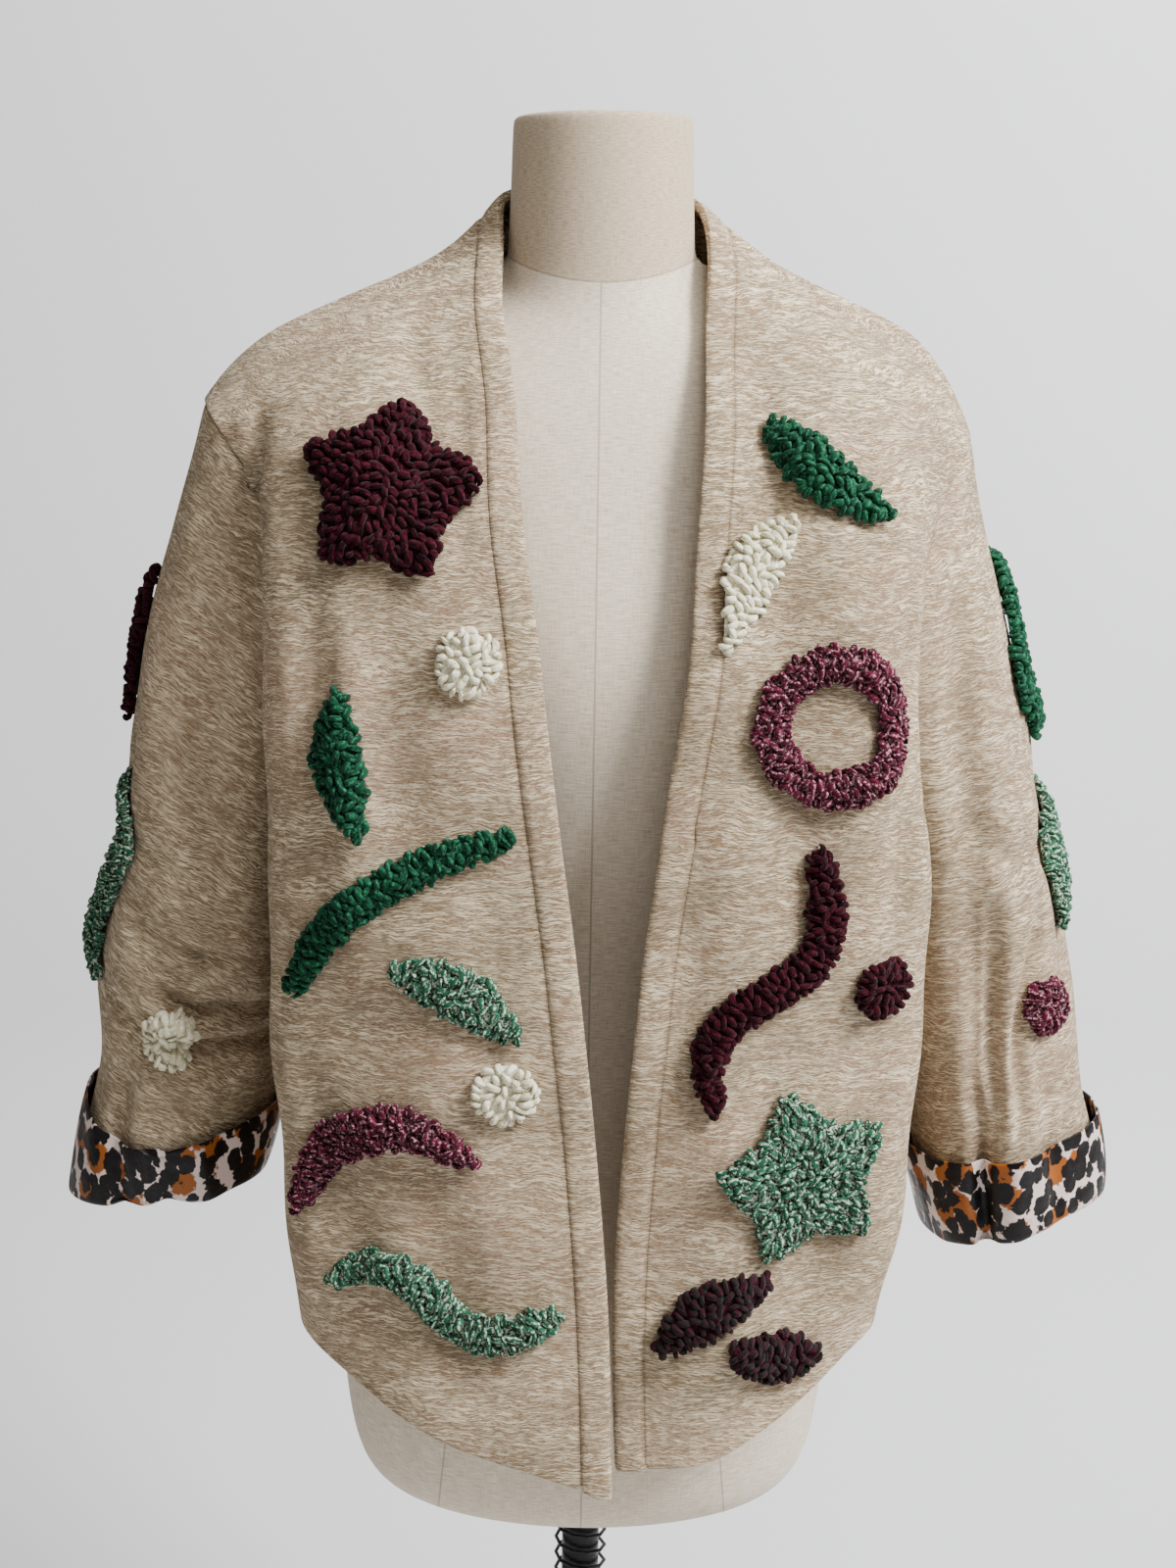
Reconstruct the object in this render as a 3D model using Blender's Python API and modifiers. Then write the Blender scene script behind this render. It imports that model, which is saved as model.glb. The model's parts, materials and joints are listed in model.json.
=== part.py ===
"""Applique jacket worn by a limbless dress form on its stand, at real size.

Metres, +Z up. The origin is on the floor, at the middle of the underside of
the stand's base. The front faces -Y and +X is the wearer's left, so the right
half of the jacket lies at -X. Lengths called "out" run from the middle of the
body towards a side, whichever side it is.
"""
import math
from collections import namedtuple

import bmesh
import bpy
import numpy as np
from mathutils import Vector
from mathutils.bvhtree import BVHTree

COLLECTION = "applique_jacket"

# Cloth and seams
CLOTH = 0.003            # thickness of the woolly cloth
LINING = 0.0026          # thickness of the turned-up lining
BAND_WIDTH = 0.018       # front band, across
BAND_THICK = 0.006       # front band, cloth folded double
SEAM_GAP = 0.00046       # between two pieces along a seam
SEAT_GAP = 0.0004        # between the cloth and the shoulder of the form
MITRE_LIMIT = 1.5        # longest mitre at a sharp seam, in thicknesses

# Applique yarn
PILE = 0.0085            # height of the looped pile
PILE_LIFT = 0.0004       # backing above the panel, at least
LIFT_STEP = 0.0003       # added until the backing clears a rounded panel

# Grid of the body panels: two rows a level, and columns between the guides
ROWS_PER_LEVEL = 2
UNDERARM_LEVEL = 4
TOP_LEVEL = 9
FRONT_STEPS = (3, 3, 2, 2, 2)
NECK_STEPS = 4
RING_POINTS = 20
SLEEVE_RINGS = 16

# Guides of a front, a row for each level from the hem to the shoulder seam.
# Each guide is (out, y, z). The side guide ends at the underarm, above which
# the armhole takes over.
Level = namedtuple("Level", "edge mid turn fold tuck side")
FRONT_RIGHT = (
    Level((-.0173, -.162, .586), (.085, -.156, .618), (.158, -.124, .657),
          (.176, -.102, .668), (.176, -.052, .662), (.169, 0, .655)),
    Level((-.0134, -.1565, .700), (.088, -.152, .712), (.168, -.126, .738),
          (.1855, -.103, .745), (.180, -.052, .740), (.176, 0, .732)),
    Level((-.0045, -.152, .800), (.093, -.150, .808), (.174, -.126, .828),
          (.1905, -.104, .835), (.184, -.055, .825), (.182, 0, .815)),
    Level((.0066, -.150, .900), (.097, -.149, .902), (.177, -.126, .910),
          (.194, -.104, .915), (.185, -.058, .905), (.184, 0, .888)),
    Level((.0203, -.150, 1.000), (.103, -.150, .998), (.178, -.128, .994),
          (.194, -.106, .985), (.183, -.060, .948), (.180, 0, .950)),
    Level((.0303, -.147, 1.080), (.108, -.147, 1.068), (.178, -.128, 1.055),
          (.194, -.108, 1.035), (.186, -.085, .998), None),
    Level((.0415, -.134, 1.160), (.112, -.139, 1.143), (.177, -.124, 1.125),
          (.193, -.108, 1.105), (.190, -.096, 1.075), None),
    Level((.0497, -.100, 1.240), (.117, -.117, 1.215), (.175, -.110, 1.197),
          (.1915, -.102, 1.182), (.194, -.094, 1.172), None),
    Level((.0585, -.050, 1.300), (.116, -.066, 1.277), (.172, -.066, 1.252),
          (.193, -.066, 1.238), (.209, -.066, 1.227), None),
    Level((.0635, 0, 1.353), (.105, 0, 1.3155), (.165, 0, 1.2902),
          (.200, 0, 1.2735), (.224, 0, 1.252), None),
)
FRONT_LEFT = (
    Level((.0205, -.147, .598), (.087, -.152, .607), (.160, -.122, .661),
          (.182, -.102, .672), (.183, -.052, .668), (.176, 0, .655)),
    Level((.0170, -.147, .700), (.092, -.151, .705), (.174, -.124, .732),
          (.193, -.102, .740), (.187, -.052, .736), (.180, 0, .730)),
    Level((.0218, -.148, .800), (.098, -.151, .805), (.182, -.125, .822),
          (.200, -.103, .830), (.191, -.055, .820), (.186, 0, .812)),
    Level((.0292, -.149, .900), (.105, -.150, .902), (.187, -.126, .909),
          (.205, -.104, .913), (.191, -.058, .900), (.187, 0, .885)),
    Level((.0412, -.149, 1.000), (.110, -.150, .998), (.184, -.128, .990),
          (.200, -.106, .980), (.187, -.060, .943), (.182, 0, .945)),
    Level((.052, -.146, 1.080), (.115, -.147, 1.065), (.177, -.128, 1.050),
          (.192, -.108, 1.030), (.186, -.085, .993), None),
    Level((.058, -.134, 1.160), (.119, -.139, 1.138), (.173, -.124, 1.115),
          (.189, -.108, 1.088), (.187, -.095, 1.058), None),
    Level((.0605, -.103, 1.235), (.121, -.117, 1.208), (.172, -.110, 1.187),
          (.189, -.101, 1.165), (.190, -.092, 1.148), None),
    Level((.063, -.050, 1.297), (.122, -.066, 1.272), (.168, -.066, 1.247),
          (.190, -.066, 1.229), (.203, -.065, 1.214), None),
    Level((.0635, 0, 1.350), (.105, 0, 1.3155), (.165, 0, 1.2902),
          (.196, 0, 1.2745), (.214, 0, 1.248), None),
)

# Guides of half the back, level by level: corner, shoulder blade and middle
BackLevel = namedtuple("BackLevel", "corner blade middle")
BACK = (
    BackLevel((.168, .074, .642), (.105, .113, .620), (0, .122, .606)),
    BackLevel((.176, .076, .722), (.108, .114, .708), (0, .122, .702)),
    BackLevel((.180, .078, .808), (.110, .115, .800), (0, .122, .798)),
    BackLevel((.179, .080, .885), (.112, .116, .890), (0, .122, .895)),
    BackLevel((.177, .084, .938), (.113, .117, .978), (0, .122, .990)),
    BackLevel((.178, .098, 1.002), (.112, .118, 1.052), (0, .122, 1.075)),
    BackLevel((.174, .106, 1.085), (.111, .117, 1.130), (0, .120, 1.155)),
    BackLevel((.172, .100, 1.172), (.112, .106, 1.205), (0, .108, 1.235)),
    BackLevel((.182, .068, 1.236), (.115, .073, 1.272), (0, .092, 1.302)),
    BackLevel((.200, 0, 1.2735), (.105, 0, 1.3155), (0, .081, 1.349)),
)

# Neck edge and neck seam behind the neck, as quarter ellipses from the side
NECK_EDGE_BACK = 0.070
NECK_EDGE_RISE = 0.015
NECK_SEAM_BACK = 0.081
NECK_SEAM_RISE = 0.012

Armhole = namedtuple("Armhole", "top under mid_out front back square_top square_low")
ARMHOLES = {
    "right": Armhole((.242, 1.230), (.180, .950), .188, .085, .088, 3.5, 2.2),
    "left": Armhole((.228, 1.216), (.182, .945), .187, .085, .088, 2.4, 2.2),
}

# Sleeves, a row for each station from the armhole to the fold of the cuff
Station = namedtuple("Station", "top_out top_z under_out under_z front back")
SLEEVES = {
    "right": (
        Station(.242, 1.230, .1800, .950, .085, .088),
        Station(.258, 1.174, .1868, .926, .084, .088),
        Station(.272, 1.115, .1905, .902, .083, .087),
        Station(.286, 1.055, .1940, .877, .081, .085),
        Station(.298, .995, .1970, .851, .078, .082),
        Station(.308, .930, .2005, .824, .074, .078),
        Station(.316, .865, .2040, .796, .070, .073),
        Station(.319, .798, .2070, .768, .066, .067),
        Station(.338, .724, .2100, .738, .063, .062),
    ),
    "left": (
        Station(.228, 1.216, .182, .945, .085, .088),
        Station(.240, 1.170, .189, .918, .084, .088),
        Station(.254, 1.112, .193, .890, .083, .087),
        Station(.269, 1.053, .197, .861, .081, .085),
        Station(.284, .993, .202, .831, .078, .082),
        Station(.298, .930, .207, .801, .075, .078),
        Station(.311, .866, .212, .770, .071, .073),
        Station(.322, .803, .218, .738, .067, .066),
        Station(.336, .734, .222, .703, .063, .060),
    ),
}
SLEEVE_SQUARE = 2.2      # roundness of the lower sleeve, 2 being an ellipse
ARMHOLE_REACH = 0.45     # share of the sleeve over which the armhole's shape fades

# Soft folds pressed into a panel. "at" and "spread" are along the guides, the
# levels bound its length, and a depth below zero is a ridge.
Fold = namedtuple("Fold", "at spread low high depth")
FRONT_FOLDS = {
    "right": (Fold(.62, .30, 5.6, 8.9, .006), Fold(1.55, .35, -1.0, 3.4, .004)),
    "left": (Fold(1.25, .30, -1.0, 4.2, .005), Fold(.75, .25, 5.0, 8.4, .004)),
}
BACK_FOLDS = (
    Fold(1.35, .30, -1.0, 6.4, .007),
    Fold(2.45, .28, -1.0, 5.2, .006),
    Fold(3.70, .30, -1.0, 6.8, .007),
    Fold(4.75, .28, -1.0, 5.6, .006),
)
# Sleeve folds: "at" and "spread" in degrees round the ring from its top line
# forwards, the rest in shares of the sleeve's length.
SLEEVE_FOLDS = {
    "right": (Fold(125, 24, .42, 1.02, .008), Fold(300, 26, .20, .95, .008)),
    "left": (Fold(52, 20, .45, 1.30, .011), Fold(300, 26, .20, .95, .008)),
}

# Turned-up cuffs: height of the free edge at the top line, front, underside
# and back of the sleeve, and how far it stands off there
Cuff = namedtuple("Cuff", "high stand_off")
CUFFS = {
    "right": Cuff((.070, .038, .046, .058), (.0035, .0050, .0040, .0040)),
    "left": Cuff((.052, .054, .064, .058), (.0050, .0040, .0060, .0040)),
}
CUFF_TUCK = 0.012        # lining that runs on inside the sleeve
CUFF_GAP = 0.0004        # between the lining and the sleeve's cloth
CUFF_FOLD = 0.0034       # how far the fold hangs below the sleeve's edge
CUFF_FOLD_SIDE = 0.0024  # the same at the fold's two rounded sides
CUFF_ROUND = 0.0014      # how far those sides lie inside its faces
CUFF_WAIST = 0.6         # share of the stand-off reached half way up
CUFF_LEAD = 0.012        # stretch of sleeve that gives the cuff's direction

# Dress form, a row for each ring: trunk ellipse and the shoulders' ellipse
FormRing = namedtuple("FormRing", "z half front back ridge ridge_depth")
FORM = (
    FormRing(1.400, .0545, .0560, .0560, 0, 0),
    FormRing(1.365, .0552, .0565, .0565, 0, 0),
    FormRing(1.330, .0565, .0572, .0575, 0, 0),
    FormRing(1.314, .0575, .0580, .0590, 0, 0),
    FormRing(1.305, .0590, .0588, .0620, None, .012),
    FormRing(1.297, .0620, .0598, .0650, None, .018),
    FormRing(1.288, .0690, .0615, .0690, None, .025),
    FormRing(1.279, .0820, .0645, .0740, None, .032),
    FormRing(1.268, .1000, .0690, .0790, .1885, .041),
    FormRing(1.250, .1270, .0760, .0860, .1905, .056),
    FormRing(1.222, .1540, .0880, .0940, .1880, .072),
    FormRing(1.180, .1690, .1040, .1000, .1780, .070),
    FormRing(1.130, .1670, .1200, .1040, 0, 0),
    FormRing(1.080, .1560, .1275, .1000, 0, 0),
    FormRing(1.020, .1410, .1190, .0950, 0, 0),
    FormRing(.950, .1260, .1000, .0880, 0, 0),
    FormRing(.870, .1170, .0880, .0780, 0, 0),
    FormRing(.800, .1270, .0920, .0860, 0, 0),
    FormRing(.720, .1490, .1010, .1000, 0, 0),
    FormRing(.650, .1620, .1060, .1110, 0, 0),
    FormRing(.605, .1620, .1050, .1110, 0, 0),
    FormRing(.572, .1585, .1020, .1080, 0, 0),
    FormRing(.545, .1530, .0960, .1020, 0, 0),
    FormRing(.527, .1440, .0870, .0930, 0, 0),
    FormRing(.516, .1290, .0740, .0800, 0, 0),
    FormRing(.511, .1050, .0560, .0600, 0, 0),
)
FORM_SIDES = 32
FORM_BLEND = 6           # sharpness of the meeting of trunk and shoulders

# Stand
FORM_BOTTOM = FORM[-1].z
BASE_RADIUS = 0.175
BASE_THICK = 0.010
BASE_BEVEL = 0.003
BASE_HUB_RADIUS = 0.024
BASE_HUB_HEIGHT = 0.022
BASE_HUB_FOOT = 0.004    # fillet where the hub meets the disc
HUB_BEVEL = 0.002
FOOT_BEVEL = 0.001       # under the disc
BASE_SIDES = 48
POST_SIDES = 32
POST_RADIUS = 0.0125
STAND_GAP = 0.0003
SPRING_RADIUS = 0.0165   # to the middle of the wire
SPRING_WIRE = 0.0012     # radius of the wire
SPRING_PITCH = 0.0115
SPRING_TURNS = 10
SPRING_POINTS = 10       # a turn
COLLAR_RADIUS = 0.021
COLLAR_HEIGHT = 0.024
COLLAR_BEVEL = 0.0015

SIDES = {"right": -1.0, "left": 1.0}
FRONTS = {"right": FRONT_RIGHT, "left": FRONT_LEFT}
BODY_ROWS = TOP_LEVEL * ROWS_PER_LEVEL
UNDERARM_ROW = UNDERARM_LEVEL * ROWS_PER_LEVEL
SHOULDER_STEPS = sum(FRONT_STEPS)
BACK_COLUMNS = 2 * (SHOULDER_STEPS + NECK_STEPS)

# Colour, roughness and metallic value of each material
MATERIALS = {
    "wool": ((0.56, 0.47, 0.37), 0.95, 0.0),
    "lining": ((0.42, 0.27, 0.14), 0.40, 0.0),
    "linen": ((0.62, 0.57, 0.49), 0.90, 0.0),
    "black_metal": ((0.015, 0.015, 0.017), 0.38, 0.9),
    "burgundy": ((0.13, 0.012, 0.035), 0.95, 0.0),
    "green": ((0.02, 0.17, 0.09), 0.95, 0.0),
    "mint": ((0.25, 0.48, 0.36), 0.95, 0.0),
    "cream": ((0.72, 0.70, 0.58), 0.95, 0.0),
    "rose": ((0.38, 0.13, 0.19), 0.95, 0.0),
    "moss": ((0.09, 0.07, 0.07), 0.95, 0.0),
}


def clear_scene():
    for item in list(bpy.data.objects):
        bpy.data.objects.remove(item, do_unlink=True)


def make_collection():
    collection = bpy.data.collections.new(COLLECTION)
    bpy.context.scene.collection.children.link(collection)
    return collection


def make_materials():
    made = {}
    for name, (colour, roughness, metallic) in MATERIALS.items():
        material = bpy.data.materials.new(name)
        material.use_nodes = True
        shader = material.node_tree.nodes["Principled BSDF"]
        shader.inputs["Base Color"].default_value = (*colour, 1.0)
        shader.inputs["Roughness"].default_value = roughness
        shader.inputs["Metallic"].default_value = metallic
        made[name] = material
    return made


def add_mesh(name, points, faces, material, collection):
    mesh = bpy.data.meshes.new(name)
    mesh.from_pydata([tuple(point) for point in points], [], faces)
    mesh.shade_smooth()
    mesh.set_sharp_from_angle(angle=math.radians(50))
    mesh.materials.append(material)
    piece = bpy.data.objects.new(name, mesh)
    collection.objects.link(piece)
    return piece


def unit(vector):
    vector = np.asarray(vector, float)
    return vector / np.linalg.norm(vector, axis=-1, keepdims=True)


def smooth(points, u):
    """Point at u, from 0 to the last index, on a centripetal cubic through points."""
    points = np.asarray(points, float)
    last = len(points) - 1
    steps = np.sqrt(np.linalg.norm(np.diff(points, axis=0), axis=1))
    slopes = np.diff(points, axis=0) / steps[:, None]

    def tangent(i):
        if i == 0:
            return slopes[0]
        if i == last:
            return slopes[-1]
        before, after = steps[i - 1], steps[i]
        return (slopes[i - 1] * after + slopes[i] * before) / (before + after)

    k = min(int(u), last - 1)
    f = u - k
    h = steps[k]
    return ((2 * f**3 - 3 * f**2 + 1) * points[k]
            + (f**3 - 2 * f**2 + f) * h * tangent(k)
            + (3 * f**2 - 2 * f**3) * points[k + 1]
            + (f**3 - f**2) * h * tangent(k + 1))


def squared(value, power):
    return math.copysign(abs(value) ** (2.0 / power), value)


def window(value, low, high, ease):
    """1 between low and high, easing to 0 over "ease" beyond each end."""
    rise = min(max((value - low) / ease, 0.0), 1.0)
    fall = min(max((high - value) / ease, 0.0), 1.0)
    return (rise * rise * (3 - 2 * rise)) * (fall * fall * (3 - 2 * fall))


def fold_depth(folds, u, level, ease):
    depth = 0.0
    for fold in folds:
        across = math.exp(-((u - fold.at) / fold.spread) ** 2)
        depth += fold.depth * across * window(level, fold.low, fold.high, ease)
    return depth


def armhole_point(side, angle):
    """Point of the armhole seam. 0 is its top, 180 its bottom, 90 its front."""
    hole = ARMHOLES[side]
    c, s = math.cos(math.radians(angle)), math.sin(math.radians(angle))
    power = hole.square_top if c > 0 else hole.square_low
    top_out, top_z = hole.top
    under_out, under_z = hole.under
    end_out = top_out if c > 0 else under_out
    out = hole.mid_out + (end_out - hole.mid_out) * c * c
    z = (top_z + under_z) / 2 + (top_z - under_z) / 2 * squared(c, power)
    depth = hole.front if s > 0 else hole.back
    return np.array([SIDES[side] * out, -depth * squared(s, power), z])


def front_guides(side, row):
    """The six guide points of a front at a grid row."""
    level = row / ROWS_PER_LEVEL
    table = FRONTS[side]
    flip = np.array([SIDES[side], 1.0, 1.0])
    guides = [smooth([getattr(entry, name) for entry in table], level) * flip
              for name in Level._fields[:-1]]
    if row <= UNDERARM_ROW:
        line = [entry.side for entry in table[:UNDERARM_LEVEL + 1]]
        guides.append(smooth(line, level) * flip)
    else:
        share = (row - UNDERARM_ROW) / (BODY_ROWS - UNDERARM_ROW)
        guides.append(armhole_point(side, 180 * (1 - share)))
    return guides


def band_share(guides):
    """Guide position where the band's width is reached, measured along the cloth."""
    samples = 60
    walked = 0.0
    before = guides[0]
    for i in range(1, samples + 1):
        point = smooth(guides, i / samples)
        step = np.linalg.norm(point - before)
        if walked + step >= BAND_WIDTH:
            return (i - 1 + (BAND_WIDTH - walked) / step) / samples
        walked += step
        before = point
    return 1.0


def front_columns(start):
    """Guide positions of a front's columns, from the band seam to the side."""
    columns = []
    for k, steps in enumerate(FRONT_STEPS):
        first = start if k == 0 else k
        columns += [first + (k + 1 - first) * i / steps for i in range(steps)]
    return columns + [len(FRONT_STEPS)]


def grid_normals(grid, closed=False):
    """Unnormalised normals of a grid of points, by the area of the faces around."""
    rows, columns = grid.shape[:2]
    sums = np.zeros_like(grid)
    for i in range(rows - 1):
        for j in range(columns if closed else columns - 1):
            k = (j + 1) % columns
            corner = [(i, j), (i, k), (i + 1, k), (i + 1, j)]
            p = [grid[index] for index in corner]
            area = np.cross(p[2] - p[0], p[3] - p[1])
            for index in corner:
                sums[index] += area
    return sums


def press_folds(grid, normals, depths):
    return grid - unit(normals) * depths[..., None]


def edge_fade(share):
    """0 at both ends of a panel and 1 in its middle, so that seams stay put."""
    return min(1.0, 6 * share, 6 * (1 - share))


def front_grid(side):
    """Outer points of a front, row by row. Column 0 is the opening edge itself
    and column 1 the band seam."""
    grid, depths = [], []
    for row in range(BODY_ROWS + 1):
        guides = front_guides(side, row)
        positions = [0.0] + front_columns(band_share(guides))
        grid.append([smooth(guides, u) for u in positions])
        level = row / ROWS_PER_LEVEL
        top_fade = min(1.0, (BODY_ROWS - row) / 2)
        depths.append([fold_depth(FRONT_FOLDS[side], u, level, .9) * top_fade
                       * edge_fade(max(j - 1, 0) / SHOULDER_STEPS)
                       for j, u in enumerate(positions)])
    grid = np.array(grid)
    outward = SIDES[side]
    return press_folds(grid, outward * grid_normals(grid), np.array(depths))


def neck_seam(side, step):
    """Band seam behind the neck, from the shoulder (0) to the centre back."""
    angle = math.radians(90 * step / NECK_STEPS)
    start = FRONT_SURFACE[side][-1, 1]
    return np.array([start[0] * math.cos(angle), NECK_SEAM_BACK * math.sin(angle),
                     start[2] + NECK_SEAM_RISE * math.sin(angle)])


def neck_edge(side, step):
    """Free edge of the stand behind the neck."""
    angle = math.radians(90 * step / NECK_STEPS)
    start = FRONT_SURFACE[side][-1, 0]
    return np.array([start[0] * math.cos(angle), NECK_EDGE_BACK * math.sin(angle),
                     start[2] + NECK_EDGE_RISE * math.sin(angle)])


def back_guides(row):
    """Seven guide points across the back, from the right side to the left."""
    level = row / ROWS_PER_LEVEL
    half = [smooth([getattr(entry, name) for entry in BACK], level)
            for name in BackLevel._fields]
    ends = {}
    for side in SIDES:
        if row <= UNDERARM_ROW:
            ends[side] = FRONT_SURFACE[side][row, -1]
        else:
            share = (row - UNDERARM_ROW) / (BODY_ROWS - UNDERARM_ROW)
            ends[side] = armhole_point(side, 180 * (1 + share))
    mirror = np.array([-1.0, 1.0, 1.0])
    return [ends["right"], half[0] * mirror, half[1] * mirror, half[2],
            half[1], half[0], ends["left"]]


def back_top_row():
    """Shoulder seam, neck seam and shoulder seam, from right to left."""
    right = list(FRONT_SURFACE["right"][-1, :0:-1])
    left = list(FRONT_SURFACE["left"][-1, 1:])
    neck = [neck_seam("right", i) for i in range(1, NECK_STEPS + 1)]
    neck[-1][0] = 0.0
    other = [neck_seam("left", i) for i in range(NECK_STEPS - 1, 0, -1)]
    neck[-1][2] = (neck_seam("right", NECK_STEPS)[2]
                   + neck_seam("left", NECK_STEPS)[2]) / 2
    return right + neck + other + left


def back_grid():
    grid, depths = [], []
    for row in range(BODY_ROWS):
        guides = back_guides(row)
        reach = len(guides) - 1
        level = row / ROWS_PER_LEVEL
        positions = [reach * j / BACK_COLUMNS for j in range(BACK_COLUMNS + 1)]
        grid.append([smooth(guides, u) for u in positions])
        depths.append([fold_depth(BACK_FOLDS, u, level, 1.2) * edge_fade(u / reach)
                       for u in positions])
    grid.append(back_top_row())
    depths.append([0.0] * (BACK_COLUMNS + 1))
    grid = np.array(grid)
    return press_folds(grid, -grid_normals(grid), np.array(depths))


def sleeve_ring(side, share):
    """One ring of sleeve points. The share runs from the armhole to the cuff."""
    station = smooth(SLEEVES[side], share * (len(SLEEVES[side]) - 1))
    top_out, top_z, under_out, under_z, front, back = station
    hole = ARMHOLES[side]
    fade = max(0.0, 1 - share / ARMHOLE_REACH) ** 2
    ring = []
    for i in range(RING_POINTS):
        angle = 360 * i / RING_POINTS
        c, s = math.cos(math.radians(angle)), math.sin(math.radians(angle))
        seam_power = hole.square_top if c > 0 else hole.square_low
        power = SLEEVE_SQUARE + (seam_power - SLEEVE_SQUARE) * fade
        lift = squared(c, power)
        out = (top_out + under_out) / 2 + (top_out - under_out) / 2 * lift
        z = (top_z + under_z) / 2 + (top_z - under_z) / 2 * lift
        depth = front if s > 0 else back
        point = np.array([SIDES[side] * out, -depth * squared(s, power), z])
        if fade > 0:
            first = SLEEVES[side][0]
            seam_lift = squared(c, seam_power)
            plain_out = ((first.top_out + first.under_out) / 2
                         + (first.top_out - first.under_out) / 2 * seam_lift)
            seam = armhole_point(side, angle)
            point[0] += (seam[0] - SIDES[side] * plain_out) * fade
        ring.append(point)
    ring = np.array(ring)
    middle = ring.mean(axis=0)
    depths = np.array([fold_depth(SLEEVE_FOLDS[side], 360 * i / RING_POINTS, share, .18)
                       for i in range(RING_POINTS)])
    return ring - unit(ring - middle) * depths[:, None]


def sleeve_grid(side):
    rings = [sleeve_ring(side, i / SLEEVE_RINGS) for i in range(SLEEVE_RINGS + 1)]
    return np.array(rings)


FRONT_SURFACE = {side: front_grid(side) for side in SIDES}
BACK_SURFACE = back_grid()
SLEEVE_SURFACE = {side: sleeve_grid(side) for side in SIDES}


def armhole_loop(side):
    """Grid places of the armhole's points: sleeve point, panel name, row."""
    half = RING_POINTS // 2
    places = []
    for i in range(RING_POINTS):
        if i <= half:
            places.append((i, "front_" + side, BODY_ROWS - i))
        else:
            places.append((i, "back", UNDERARM_ROW + i - half))
    return places


def jacket_normals():
    """Unit normals and mitre lengths of all panels, shared along their seams."""
    normals = {"back": -grid_normals(BACK_SURFACE)}
    for side, sign in SIDES.items():
        normals["front_" + side] = sign * grid_normals(FRONT_SURFACE[side])
        normals["sleeve_" + side] = sign * grid_normals(SLEEVE_SURFACE[side], True)
    for side in SIDES:
        front = normals["front_" + side]
        back = normals["back"]
        end = 0 if side == "right" else BACK_COLUMNS
        step = 1 if side == "right" else -1
        for row in range(UNDERARM_ROW + 1):
            shared = front[row, -1] + back[row, end]
            front[row, -1] = shared
            back[row, end] = shared
        for j in range(SHOULDER_STEPS + 1):
            column = end + step * j
            shared = front[-1, -1 - j] + back[-1, column]
            front[-1, -1 - j] = shared
            back[-1, column] = shared
        for j in range(NECK_STEPS + 1):
            seam = neck_seam(side, j)
            along = neck_seam(side, j + 1) - neck_seam(side, j - 1)
            stand = unit(np.cross(along, neck_edge(side, j) - seam))
            stand *= math.copysign(1.0, stand @ np.array([seam[0], seam[1] + .001, 0]))
            column = end + step * (SHOULDER_STEPS + j)
            if j == 0:
                continue
            back[-1, column] = unit(back[-1, column]) + stand
    mitres = {name: np.ones(values.shape[:2]) for name, values in normals.items()}
    normals = {name: unit(values) for name, values in normals.items()}
    for side in SIDES:
        sleeve = "sleeve_" + side
        end = 0 if side == "right" else BACK_COLUMNS
        for i, panel, row in armhole_loop(side):
            column = -1 if panel != "back" else end
            body = normals[panel][row, column].copy()
            own = normals[sleeve][0, i].copy()
            shared = unit(body + own)
            mitre = min(MITRE_LIMIT, 1 / max(0.1, float(shared @ own)))
            for name, place in ((sleeve, (0, i)), (panel, (row, column))):
                normals[name][place] = shared
                mitres[name][place] = mitre
        half = RING_POINTS // 2
        for i, row in ((0, BODY_ROWS), (half, UNDERARM_ROW)):
            normals["back"][row, end] = normals[sleeve][0, i]
            mitres["back"][row, end] = mitres[sleeve][0, i]
    return normals, mitres


NORMALS, MITRES = jacket_normals()


def armhole_shifts(side):
    """Sideways move of each armhole point, which parts the sleeve from the body."""
    ring = SLEEVE_SURFACE[side][0]
    normals = NORMALS["sleeve_" + side][0]
    along = np.roll(ring, -1, axis=0) - np.roll(ring, 1, axis=0)
    apart = unit(np.cross(along, normals))
    signs = np.sign(apart[:, 0] * SIDES[side])
    return apart * signs[:, None] * SEAM_GAP / 2


def panel_shifts():
    """How far the edge points of each panel move to leave the seam gaps."""
    shifts = {name: np.zeros_like(values) for name, values in NORMALS.items()}
    half = SEAM_GAP / 2
    forward = np.array([0.0, -half, 0.0])
    back = shifts["back"]
    for side in SIDES:
        front = shifts["front_" + side]
        end = 0 if side == "right" else BACK_COLUMNS
        step = 1 if side == "right" else -1
        front[:UNDERARM_ROW + 1, -1] += forward
        back[:UNDERARM_ROW + 1, end] -= forward
        front[-1, 1:] += forward
        for j in range(SHOULDER_STEPS + 1):
            back[-1, end + step * j] -= forward
        away = armhole_shifts(side)
        shifts["sleeve_" + side][0] += away
        for i, panel, row in armhole_loop(side):
            column = -1 if panel != "back" else end
            shifts[panel][row, column] -= away[i]
        for i, row in ((0, BODY_ROWS), (RING_POINTS // 2, UNDERARM_ROW)):
            back[row, end] -= away[i]
        surface = FRONT_SURFACE[side]
        front[:, 1] += unit(surface[:, 1] - surface[:, 0]) * half
        for j in range(NECK_STEPS + 1):
            if j == NECK_STEPS and side == "left":
                continue
            down = unit(neck_seam(side, j) - neck_edge(side, j)) * half
            back[-1, end + step * (SHOULDER_STEPS + j)] += down
    return shifts


SHIFTS = panel_shifts()


def grid_triangles(rows, columns, closed, flipped, start=0):
    faces = []
    for i in range(rows - 1):
        for j in range(columns if closed else columns - 1):
            k = (j + 1) % columns
            a, b = start + i * columns + j, start + i * columns + k
            c, d = b + columns, a + columns
            pair = [(a, b, c), (a, c, d)]
            faces += [face[::-1] for face in pair] if flipped else pair
    return faces


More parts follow.
